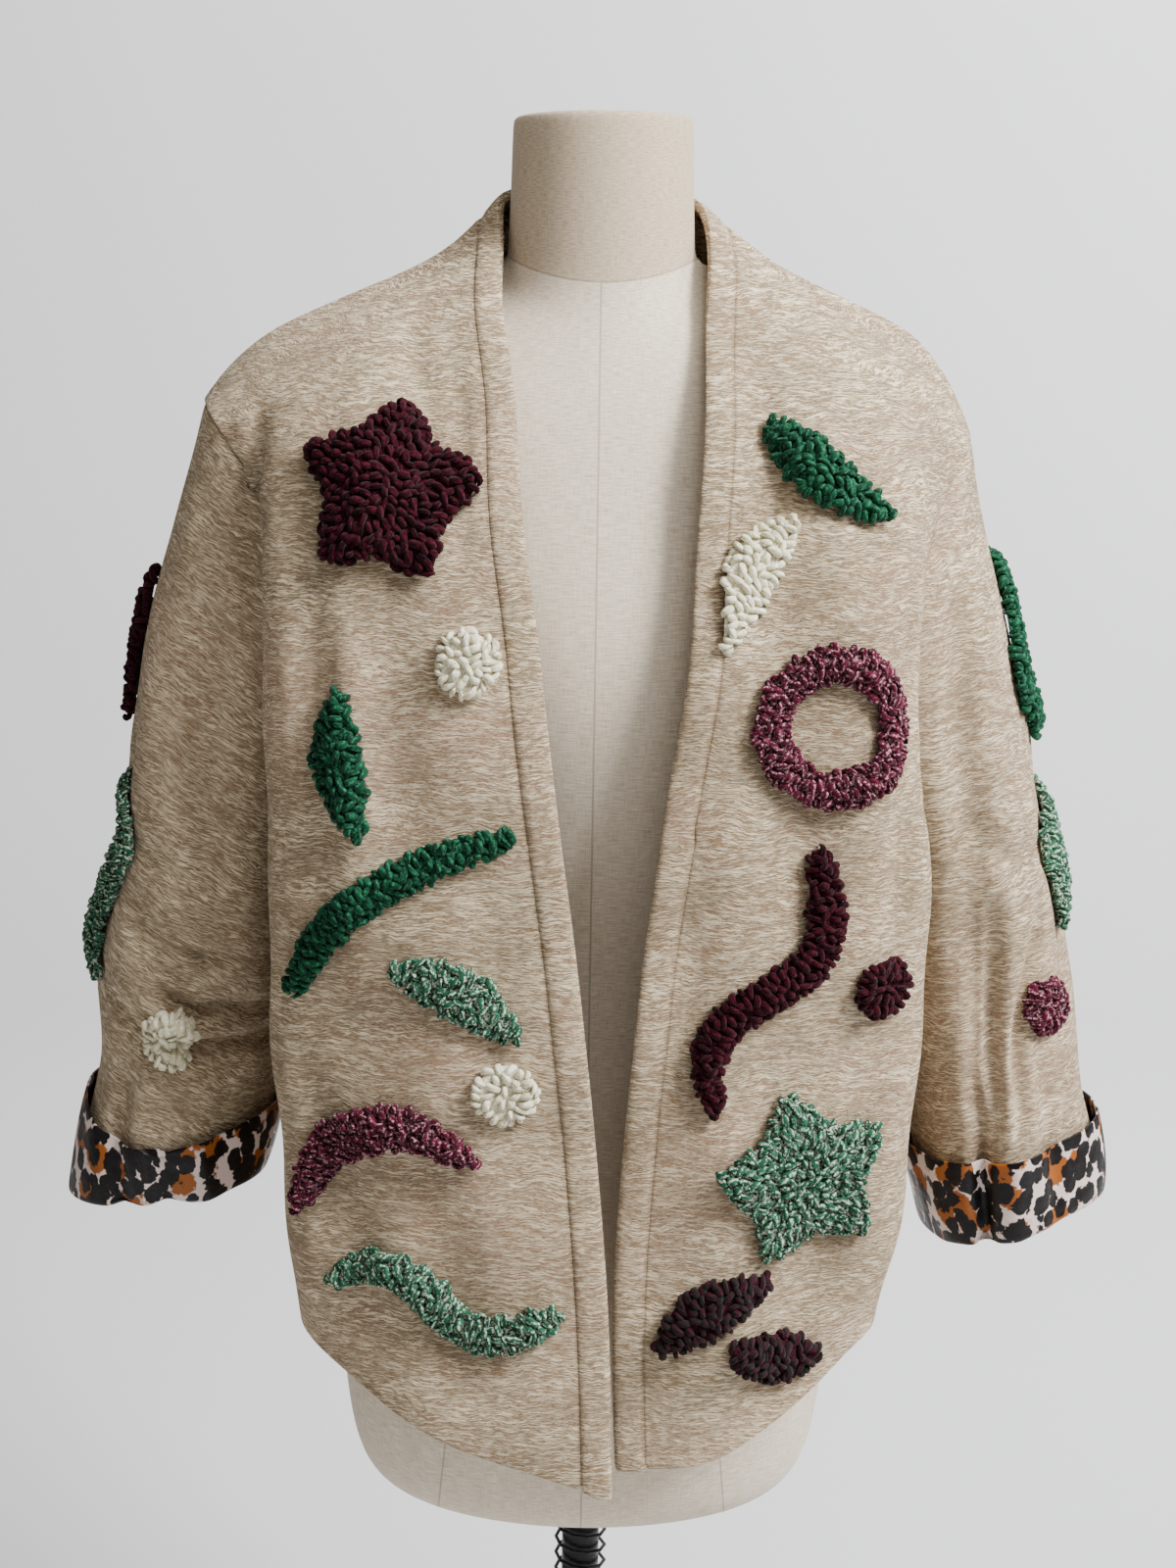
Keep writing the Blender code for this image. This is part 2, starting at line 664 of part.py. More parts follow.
def rim_triangles(loop, count, flipped):
    """Faces that join the outer and the inner points along a loop of indices."""
    faces = []
    for a, b in zip(loop, loop[1:] + loop[:1]):
        pair = [(a, a + count, b + count), (a, b + count, b)]
        faces += [face[::-1] for face in pair] if flipped else pair
    return faces


def wall_mesh(outer, inner, closed, flipped):
    """A wall between two grids of points, closed round its free edges."""
    rows, columns = outer.shape[:2]
    count = rows * columns
    points = list(outer.reshape(-1, 3)) + list(inner.reshape(-1, 3))
    faces = grid_triangles(rows, columns, closed, flipped)
    faces += grid_triangles(rows, columns, closed, not flipped, count)
    if closed:
        last = (rows - 1) * columns
        faces += rim_triangles(list(range(columns)), count, flipped)
        faces += rim_triangles(list(range(last, last + columns)), count, not flipped)
    else:
        loop = [j for j in range(columns)]
        loop += [i * columns + columns - 1 for i in range(1, rows)]
        loop += [(rows - 1) * columns + j for j in range(columns - 2, -1, -1)]
        loop += [i * columns for i in range(rows - 2, 0, -1)]
        faces += rim_triangles(loop, count, flipped)
    return points, faces


def is_inside_out(points, faces):
    volume = 0.0
    for a, b, c in faces:
        volume += np.dot(points[a], np.cross(points[b], points[c]))
    return volume < 0


def add_wall(name, surface, skip, closed, material, collection):
    """Makes a panel's wall. "skip" leaves out columns that another piece holds."""
    normals = NORMALS[name][:, skip:]
    thickness = CLOTH * MITRES[name][:, skip:, None]
    outer = surface[:, skip:] + SHIFTS[name][:, skip:]
    inner = outer - normals * thickness
    points, faces = wall_mesh(outer, inner, closed, False)
    if is_inside_out(points, faces):
        points, faces = wall_mesh(outer, inner, closed, True)
    return add_mesh(name, points, faces, material, collection)


def loft(rings, closed):
    """Points and faces of a solid through equal rings, open ends being capped."""
    rings = np.asarray(rings)
    count, around = rings.shape[:2]
    points = list(rings.reshape(-1, 3))
    faces = grid_triangles(count, around, True, False)
    if closed:
        last = (count - 1) * around
        for j in range(around):
            k = (j + 1) % around
            faces += [(last + j, last + k, k), (last + j, k, j)]
    else:
        for first, flip in ((0, True), ((count - 1) * around, False)):
            ring = list(range(first, first + around))
            fan = [(ring[0], ring[j], ring[j + 1]) for j in range(1, around - 1)]
            faces += [face[::-1] for face in fan] if flip else fan
    if is_inside_out(points, faces):
        faces = [face[::-1] for face in faces]
    return points, faces


def band_stations(side):
    """Edge point, seam point and their normals from the hem to the centre back."""
    surface = FRONT_SURFACE[side]
    normals = NORMALS["front_" + side]
    stations = [(surface[row, 0], surface[row, 1], normals[row, 0], normals[row, 1])
                for row in range(BODY_ROWS + 1)]
    end = 0 if side == "right" else BACK_COLUMNS
    step = 1 if side == "right" else -1
    for j in range(1, NECK_STEPS + 1):
        edge, seam = neck_edge(side, j), neck_seam(side, j)
        if j == NECK_STEPS:
            edge[0] = seam[0] = 0.0
            edge[2] = (neck_edge("right", j)[2] + neck_edge("left", j)[2]) / 2
            seam[2] = (neck_seam("right", j)[2] + neck_seam("left", j)[2]) / 2
        seam_normal = NORMALS["back"][-1, end + step * (SHOULDER_STEPS + j)]
        edge_normal = seam_normal - (seam_normal @ unit(seam - edge)) * unit(seam - edge)
        stations.append((edge, seam, unit(edge_normal), seam_normal))
    return stations


# Section of the band: share of its width from the edge, and depth under its
# outer face in thicknesses, round its folded edge
BAND_SECTION = ((1.0, 0.0), (.50, -.04), (.13, .04), (.02, .28), (.02, .72),
                (.13, .96), (.60, .98), (1.0, .50))


def add_band(side, material, collection):
    rings = []
    stations = band_stations(side)
    for number, (edge, seam, edge_normal, seam_normal) in enumerate(stations):
        seam = seam - unit(seam - edge) * SEAM_GAP / 2
        if number == len(stations) - 1:
            aside = np.array([SIDES[side] * SEAM_GAP / 2, 0, 0])
            edge, seam = edge + aside, seam + aside
        ring = []
        for share, depth in BAND_SECTION:
            normal = unit(edge_normal * (1 - share) + seam_normal * share)
            ring.append(edge + (seam - edge) * share - normal * depth * BAND_THICK)
        rings.append(ring)
    points, faces = loft(rings, False)
    return add_mesh("band_" + side, points, faces, material, collection)


def round_value(values, angle):
    """Value at an angle from those at the top line, front, underside and back."""
    place = angle / 90
    k = int(place) % 4
    f = place - int(place)
    f = f * f * (3 - 2 * f)
    return values[k] * (1 - f) + values[(k + 1) % 4] * f


def up_sleeve(side, index, distance):
    """Point and normal on the sleeve, a distance up from its lower edge."""
    line = SLEEVE_SURFACE[side][::-1, index]
    normals = NORMALS["sleeve_" + side][::-1, index]
    walked = 0.0
    for k in range(len(line) - 1):
        step = np.linalg.norm(line[k + 1] - line[k])
        if walked + step >= distance:
            f = (distance - walked) / step
            normal = unit(normals[k] * (1 - f) + normals[k + 1] * f)
            return line[k] * (1 - f) + line[k + 1] * f, normal
        walked += step
    return line[-1], normals[-1]


def add_cuff(side, material, collection):
    """The lining turned up outside the sleeve, its fold and a short tuck inside."""
    cuff = CUFFS[side]
    near = CUFF_GAP
    far = CUFF_GAP + LINING
    deep = -CLOTH - CUFF_GAP
    rings = []
    for i in range(RING_POINTS):
        angle = 360 * i / RING_POINTS
        high = round_value(cuff.high, angle)
        off = round_value(cuff.stand_off, angle)
        foot, normal = up_sleeve(side, i, 0)
        up = unit(up_sleeve(side, i, CUFF_LEAD)[0] - foot)
        middle, middle_normal = up_sleeve(side, i, high / 2)
        top, top_normal = up_sleeve(side, i, high)
        rings.append([
            top + top_normal * (near + off),
            top + top_normal * (far + off),
            middle + middle_normal * (far + off * CUFF_WAIST),
            foot + normal * far,
            foot + normal * (far - CUFF_ROUND) - up * CUFF_FOLD_SIDE,
            foot - normal * CLOTH / 2 - up * CUFF_FOLD,
            foot + normal * (deep - LINING + CUFF_ROUND) - up * CUFF_FOLD_SIDE,
            foot + normal * (deep - LINING),
            foot + normal * (deep - LINING) + up * CUFF_TUCK,
            foot + normal * deep + up * CUFF_TUCK,
            foot + normal * deep - up * CUFF_GAP,
            foot + normal * near - up * CUFF_GAP,
            middle + middle_normal * (near + off * CUFF_WAIST),
        ])
    points, faces = loft(rings, True)
    return add_mesh("cuff_" + side, points, faces, material, collection)


def shoulder_line():
    """Lowest (out, z) line of the outer cloth over both shoulders."""
    lines = [smooth([getattr(table[-1], name) for name in Level._fields[:-1]], u)
             for table in (FRONT_RIGHT, FRONT_LEFT) for u in np.linspace(1, 3, 60)]
    return sorted((line[0], line[2]) for line in lines)


def ridge_half_width(z):
    """How far out the form's shoulder may reach at a height, just under the cloth."""
    slope_allowance = 1.1
    clearance = CLOTH * slope_allowance + SEAT_GAP
    return min(out for out, line_z in shoulder_line() if line_z - clearance <= z)


def form_ring(ring):
    ridge = ridge_half_width(ring.z) if ring.ridge is None else ring.ridge
    points = []
    for i in range(FORM_SIDES):
        angle = 2 * math.pi * i / FORM_SIDES
        c, s = math.cos(angle), math.sin(angle)
        depth = ring.front if s < 0 else ring.back
        reach = 1 / math.hypot(c / ring.half, s / depth)
        if ridge > 0:
            shoulder = 1 / math.hypot(c / ridge, s / ring.ridge_depth)
            reach = (reach**FORM_BLEND + shoulder**FORM_BLEND) ** (1 / FORM_BLEND)
            reach = min(reach, ridge / max(abs(c), 1e-6))
        points.append((reach * c, reach * s, ring.z))
    return points


def add_form(material, collection):
    points, faces = loft([form_ring(ring) for ring in FORM], False)
    return add_mesh("dress_form", points, faces, material, collection)


def add_turned(name, profile, material, collection, sides):
    """A turned solid from a closed (radius, z) profile, with the Screw modifier."""
    mesh = bpy.data.meshes.new(name)
    points = [(radius, 0, z) for radius, z in profile]
    mesh.from_pydata(points, [(i, i + 1) for i in range(len(points) - 1)], [])
    mesh.materials.append(material)
    piece = bpy.data.objects.new(name, mesh)
    collection.objects.link(piece)
    screw = piece.modifiers.new("turn", "SCREW")
    screw.steps = sides
    screw.render_steps = sides
    screw.use_merge_vertices = True
    screw.merge_threshold = 0.0001
    screw.use_smooth_shade = True
    return piece


def add_stand(materials, collection):
    black = materials["black_metal"]
    add_turned("stand_base", [
        (0, BASE_HUB_HEIGHT),
        (BASE_HUB_RADIUS - HUB_BEVEL, BASE_HUB_HEIGHT),
        (BASE_HUB_RADIUS, BASE_HUB_HEIGHT - HUB_BEVEL),
        (BASE_HUB_RADIUS, BASE_THICK + BASE_HUB_FOOT / 2),
        (BASE_HUB_RADIUS + BASE_HUB_FOOT, BASE_THICK),
        (BASE_RADIUS - BASE_BEVEL, BASE_THICK),
        (BASE_RADIUS, BASE_THICK - BASE_BEVEL),
        (BASE_RADIUS, FOOT_BEVEL),
        (BASE_RADIUS - FOOT_BEVEL, 0),
        (0, 0),
    ], black, collection, BASE_SIDES)
    low = BASE_HUB_HEIGHT + STAND_GAP
    high = FORM_BOTTOM - STAND_GAP
    bpy.ops.mesh.primitive_cylinder_add(vertices=POST_SIDES, radius=POST_RADIUS,
                                        depth=high - low,
                                        location=(0, 0, (high + low) / 2))
    post = bpy.context.object
    post.name = "stand_post"
    post.data.materials.append(black)
    for owner in list(post.users_collection):
        owner.objects.unlink(post)
    collection.objects.link(post)
    add_spring(black, collection)
    spring_low = spring_top() - SPRING_TURNS * SPRING_PITCH - 2 * SPRING_WIRE
    top = spring_low - STAND_GAP
    hole = POST_RADIUS + STAND_GAP
    foot = top - COLLAR_HEIGHT
    add_turned("stand_collar", [
        (hole, top),
        (COLLAR_RADIUS - COLLAR_BEVEL, top),
        (COLLAR_RADIUS, top - COLLAR_BEVEL),
        (COLLAR_RADIUS, foot + COLLAR_BEVEL),
        (COLLAR_RADIUS - COLLAR_BEVEL, foot),
        (hole, foot),
        (hole, top),
    ], black, collection, POST_SIDES)


def spring_top():
    return FORM_BOTTOM - STAND_GAP


def add_spring(material, collection):
    name = "stand_spring"
    curve = bpy.data.curves.new(name, "CURVE")
    curve.dimensions = "3D"
    curve.bevel_depth = SPRING_WIRE
    curve.bevel_resolution = 2
    curve.use_fill_caps = True
    spline = curve.splines.new("POLY")
    count = SPRING_TURNS * SPRING_POINTS + 1
    spline.points.add(count - 1)
    top = spring_top() - SPRING_WIRE
    for i in range(count):
        angle = 2 * math.pi * i / SPRING_POINTS
        z = top - SPRING_PITCH * i / SPRING_POINTS
        spline.points[i].co = (SPRING_RADIUS * math.cos(angle),
                               SPRING_RADIUS * math.sin(angle), z, 1)
    curve.materials.append(material)
    collection.objects.link(bpy.data.objects.new(name, curve))


# Appliques. Each lies on a panel, at an anchor given by a ray that meets the
# cloth: a bearing round the panel's own upright axis (0 is the front, 90 the
# wearer's left, 180 the back), a place across and a height. The turn is in
# degrees, anticlockwise as seen from outside.
Motif = namedtuple("Motif", "name kind panel bearing x z turn size colour")
MOTIFS = (
    Motif("flower_chest", "flower", "front_right", 0, -.118, 1.185, 10, .046, "burgundy"),
    Motif("stem_waist", "stem", "front_right", 0, -.120, .950, 40, .168, "green"),
    Motif("leaf_waist_a", "leaf", "front_right", 0, -.142, 1.030, 100, .085, "green"),
    Motif("leaf_waist_b", "leaf", "front_right", 0, -.078, .893, -28, .085, "mint"),
    Motif("crescent_hip", "crescent", "front_right", 0, -.126, .792, 20, .122, "rose"),
    Motif("dot_hip", "dot", "front_right", 0, -.048, .838, 0, .018, "cream"),
    Motif("wave_hem", "wave", "front_right", 0, -.086, .705, -12, .138, "mint"),
    Motif("dot_chest", "dot", "front_right", 0, -.072, 1.090, 0, .018, "cream"),
    Motif("leaf_shoulder", "leaf", "front_left", 0, .130, 1.202, 140, .092, "green"),
    Motif("leaf_breast", "leaf", "front_left", 0, .090, 1.138, 60, .084, "cream"),
    Motif("ring_bust", "ring", "front_left", 0, .137, 1.056, 0, .037, "rose"),
    Motif("wave_waist", "wave", "front_left", 0, .105, .905, 62, .165, "burgundy"),
    Motif("dot_waist", "dot", "front_left", 0, .172, .900, 0, .018, "burgundy"),
    Motif("flower_hip", "flower", "front_left", 0, .128, .785, 30, .045, "mint"),
    Motif("leaf_hem_a", "leaf", "front_left", 0, .076, .702, 35, .080, "moss"),
    Motif("leaf_hem_b", "leaf", "front_left", 0, .114, .675, 170, .062, "moss"),
    Motif("crescent_back", "crescent", "back", 180, -.085, 1.080, 100, .150, "burgundy"),
    Motif("flower_back", "flower", "back", 180, .080, 1.110, 0, .050, "green"),
    Motif("wave_back", "wave", "back", 180, .020, .930, 15, .200, "mint"),
    Motif("leaf_back_a", "leaf", "back", 180, -.100, .800, 60, .105, "moss"),
    Motif("leaf_back_b", "leaf", "back", 180, .095, .800, 120, .105, "rose"),
    Motif("ring_back", "ring", "back", 180, .000, .725, 0, .040, "cream"),
    Motif("leaf_arm_r", "leaf", "sleeve_right", -60, -.255, 1.080, 80, .100, "burgundy"),
    Motif("wave_arm_r", "wave", "sleeve_right", -40, -.265, .935, 75, .135, "mint"),
    Motif("dot_arm_r", "dot", "sleeve_right", -15, -.240, .840, 0, .018, "cream"),
    Motif("leaf_elbow_r", "leaf", "sleeve_right", 200, -.255, .950, 70, .100, "green"),
    Motif("crescent_arm_l", "crescent", "sleeve_left", 40, .245, 1.090, 75, .120, "green"),
    Motif("leaf_arm_l", "leaf", "sleeve_left", 60, .275, .955, 60, .098, "mint"),
    Motif("dot_arm_l", "dot", "sleeve_left", 30, .255, .866, 0, .018, "rose"),
    Motif("leaf_elbow_l", "leaf", "sleeve_left", 160, .262, .940, 110, .100, "burgundy"),
)
STROKE = 0.0115          # half width of a stroke
WRAP_STEP = 0.005        # step in walking over the cloth

# Stroke centre lines in shares of their size, and the half width along them
Stroke = namedtuple("Stroke", "line widths")
STROKES = {
    "stem": Stroke(((-.50, -.04), (-.18, .05), (.18, .02), (.50, -.10)),
                   (.35, .80, .80, .80, .80, .75, .30)),
    "leaf": Stroke(((-.50, -.02), (-.15, .05), (.18, .05), (.50, -.04)),
                   (.25, .85, 1.25, 1.35, 1.20, .80, .22)),
    "crescent": Stroke(((-.50, -.16), (-.22, .12), (.22, .12), (.50, -.16)),
                       (.30, .80, 1.10, 1.20, 1.10, .80, .30)),
    "wave": Stroke(((-.50, -.06), (-.30, .10), (-.05, .02), (.15, -.10), (.35, -.03),
                    (.50, .10)),
                   (.35, .85, .95, .95, .95, .95, .95, .85, .35)),
}
# Section of a stroke: place across in half widths, and height as a share of
# the way from its backing (0) to its crown (1)
SECTION = ((-1.0, .33), (-.62, .88), (0.0, 1.0), (.62, .88), (1.0, .33),
           (.94, 0.0), (0.0, 0.0), (-.94, 0.0))
FLOWER_PETALS = 5
FLOWER_SPOKES = 20
DOT_SPOKES = 12


class Cloth:
    """A panel's outer surface as the appliques find it."""

    def __init__(self, surface, closed):
        rows, columns = surface.shape[:2]
        faces = grid_triangles(rows, columns, closed, False)
        points = [Vector(point) for point in surface.reshape(-1, 3)]
        self.tree = BVHTree.FromPolygons(points, faces)
        self.upright = surface.mean(axis=(0, 1))

    def anchor(self, bearing, x, z):
        """Surface point and outward normal that a ray from outside meets."""
        angle = math.radians(bearing)
        out = Vector((math.sin(angle), -math.cos(angle), 0))
        start = Vector((x, self.upright[1], z)) + out * 0.5
        point, normal, _, _ = self.tree.ray_cast(start, -out)
        if normal.dot(out) < 0:
            normal = -normal
        return point, normal

    def meets(self, points, faces):
        tree = BVHTree.FromPolygons([Vector(point) for point in points], faces)
        return bool(self.tree.overlap(tree))

    def walk(self, point, normal, direction, distance):
        """Walks over the cloth from a point. Returns where it ends and the normal."""
        steps = max(1, math.ceil(distance / WRAP_STEP))
        for _ in range(steps):
            direction = (direction - normal * direction.dot(normal)).normalized()
            place = point + direction * (distance / steps)
            point, face_normal, _, _ = self.tree.find_nearest(place)
            normal = face_normal if face_normal.dot(normal) > 0 else -face_normal
        return point, normal


def motif_point(cloth, anchor, normal, turn, a, b):
    """Point of the cloth at (a, b) in the motif's own flat drawing, and normal."""
    side = Vector((0, 0, 1)).cross(normal).normalized()
    up = normal.cross(side)
    angle = math.radians(turn)
    flat = Vector((a * math.cos(angle) - b * math.sin(angle),
                   a * math.sin(angle) + b * math.cos(angle)))
    distance = flat.length
    if distance < 1e-6:
        return anchor, normal
    direction = (side * flat.x + up * flat.y) / distance
    return cloth.walk(anchor, normal, direction, distance)


class Placed:
    """A motif's drawing laid on its panel at a lift."""

    def __init__(self, cloth, motif, lift):
        self.cloth = cloth
        self.turn = motif.turn
        self.lift = lift
        self.anchor, self.normal = cloth.anchor(motif.bearing, motif.x, motif.z)

    def raised(self, a, b, share):
        """A point of the pile over (a, b). Share 0 is its backing and 1 its crown."""
        point, own = motif_point(self.cloth, self.anchor, self.normal, self.turn, a, b)
        return np.array(point + own * (self.lift + share * PILE))


def stroke_rings(placed, motif):
    stroke = STROKES[motif.kind]
    count = len(stroke.widths)
    last = len(stroke.line) - 1
    line = [smooth(stroke.line, last * i / (count - 1)) * motif.size
            for i in range(count)]
    rings = []
    for i, centre in enumerate(line):
        along = unit(line[min(i + 1, count - 1)] - line[max(i - 1, 0)])
        across = np.array([-along[1], along[0]])
        half = STROKE * stroke.widths[i]
        crown = .55 if i in (0, count - 1) else 1.0
        ring = []
        for place, share in SECTION:
            a, b = centre + across * place * half
            ring.append(placed.raised(a, b, share * crown))
        rings.append(ring)
    return rings


def ring_rings(placed, motif):
    count = 16
    rings = []
    for i in range(count):
        angle = 2 * math.pi * i / count
        spoke = np.array([math.cos(angle), math.sin(angle)])
        ring = []
        for place, share in SECTION:
            a, b = spoke * (motif.size + place * STROKE * .85)
            ring.append(placed.raised(a, b, share))
        rings.append(ring)
    return rings


def rosette_mesh(placed, motif):
    """A flower or a dot: a domed patch whose outline has petals or is round."""
    flower = motif.kind == "flower"
    spokes = FLOWER_SPOKES if flower else DOT_SPOKES
    swell = .24 if flower else 0.0
    # Each ring: share of the outline's radius and of the pile's height
    rings = ((.55, .92), (.88, .90), (1.0, .33), (.95, 0.0), (.50, 0.0))
    points = []
    for radius, share in rings:
        for i in range(spokes):
            angle = 2 * math.pi * i / spokes
            reach = motif.size * radius * (1 + swell * math.cos(FLOWER_PETALS * angle))
            points.append(placed.raised(reach * math.cos(angle),
                                        reach * math.sin(angle), share))
    top = len(points)
    points.append(placed.raised(0, 0, 1.0))
    points.append(placed.raised(0, 0, 0.0))
    faces = grid_triangles(len(rings), spokes, True, False)
    last = (len(rings) - 1) * spokes
    for i in range(spokes):
        k = (i + 1) % spokes
        faces.append((k, i, top))
        faces.append((last + i, last + k, top + 1))
    if is_inside_out(points, faces):
        faces = [face[::-1] for face in faces]
    return points, faces


def motif_mesh(placed, motif):
    if motif.kind in STROKES:
        return loft(stroke_rings(placed, motif), False)
    if motif.kind == "ring":
        return loft(ring_rings(placed, motif), True)
    return rosette_mesh(placed, motif)


def add_motifs(materials, collection):
    cloths = {"back": Cloth(BACK_SURFACE, False)}
    for side in SIDES:
        cloths["front_" + side] = Cloth(FRONT_SURFACE[side][:, 1:], False)
        cloths["sleeve_" + side] = Cloth(SLEEVE_SURFACE[side], True)
    for motif in MOTIFS:
        cloth = cloths[motif.panel]
        lift = PILE_LIFT
        points, faces = motif_mesh(Placed(cloth, motif, lift), motif)
        while cloth.meets(points, faces):
            lift += LIFT_STEP
            points, faces = motif_mesh(Placed(cloth, motif, lift), motif)
        points, faces = motif_mesh(Placed(cloth, motif, lift + LIFT_STEP), motif)
        add_mesh(motif.name, points, faces, materials[motif.colour], collection)


def main():
    clear_scene()
    collection = make_collection()
    materials = make_materials()
    wool = materials["wool"]
    for side in SIDES:
        add_wall("front_" + side, FRONT_SURFACE[side], 1, False, wool, collection)
        add_wall("sleeve_" + side, SLEEVE_SURFACE[side], 0, True, wool, collection)
        add_band(side, wool, collection)
        add_cuff(side, materials["lining"], collection)
    add_wall("back", BACK_SURFACE, 0, False, wool, collection)
    add_motifs(materials, collection)
    add_form(materials["linen"], collection)
    add_stand(materials, collection)


main()
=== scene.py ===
import json
import math
from collections import namedtuple

import bmesh
import bpy
import numpy as np
from mathutils import Matrix, Vector
from mathutils.bvhtree import BVHTree


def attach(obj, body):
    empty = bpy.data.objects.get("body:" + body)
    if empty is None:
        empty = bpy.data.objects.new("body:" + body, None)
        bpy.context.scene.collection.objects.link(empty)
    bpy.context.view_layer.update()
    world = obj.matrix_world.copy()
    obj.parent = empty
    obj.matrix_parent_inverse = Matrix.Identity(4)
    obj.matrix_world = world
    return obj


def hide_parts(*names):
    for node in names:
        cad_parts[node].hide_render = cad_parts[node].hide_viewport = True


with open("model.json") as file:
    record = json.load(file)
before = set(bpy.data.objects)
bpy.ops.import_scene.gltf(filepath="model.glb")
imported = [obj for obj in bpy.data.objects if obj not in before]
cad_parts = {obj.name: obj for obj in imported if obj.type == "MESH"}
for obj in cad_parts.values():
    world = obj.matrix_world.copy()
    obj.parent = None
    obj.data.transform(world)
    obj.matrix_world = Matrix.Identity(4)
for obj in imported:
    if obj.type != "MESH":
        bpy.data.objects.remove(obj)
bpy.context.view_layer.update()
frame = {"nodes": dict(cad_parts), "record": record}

BODY = "root"
WELD = 1e-5              # points closer than this are one
JOIN_FACES = math.radians(35)
JOIN_SHAPES = math.radians(70)

# Camera, at the photo's viewing angle
CAMERA_PLACE = (-0.003, -1.41, 1.279)
CAMERA_LENS = 52
CAMERA_PITCH = math.radians(11.5)
CAMERA_ROLL = math.radians(0.92)

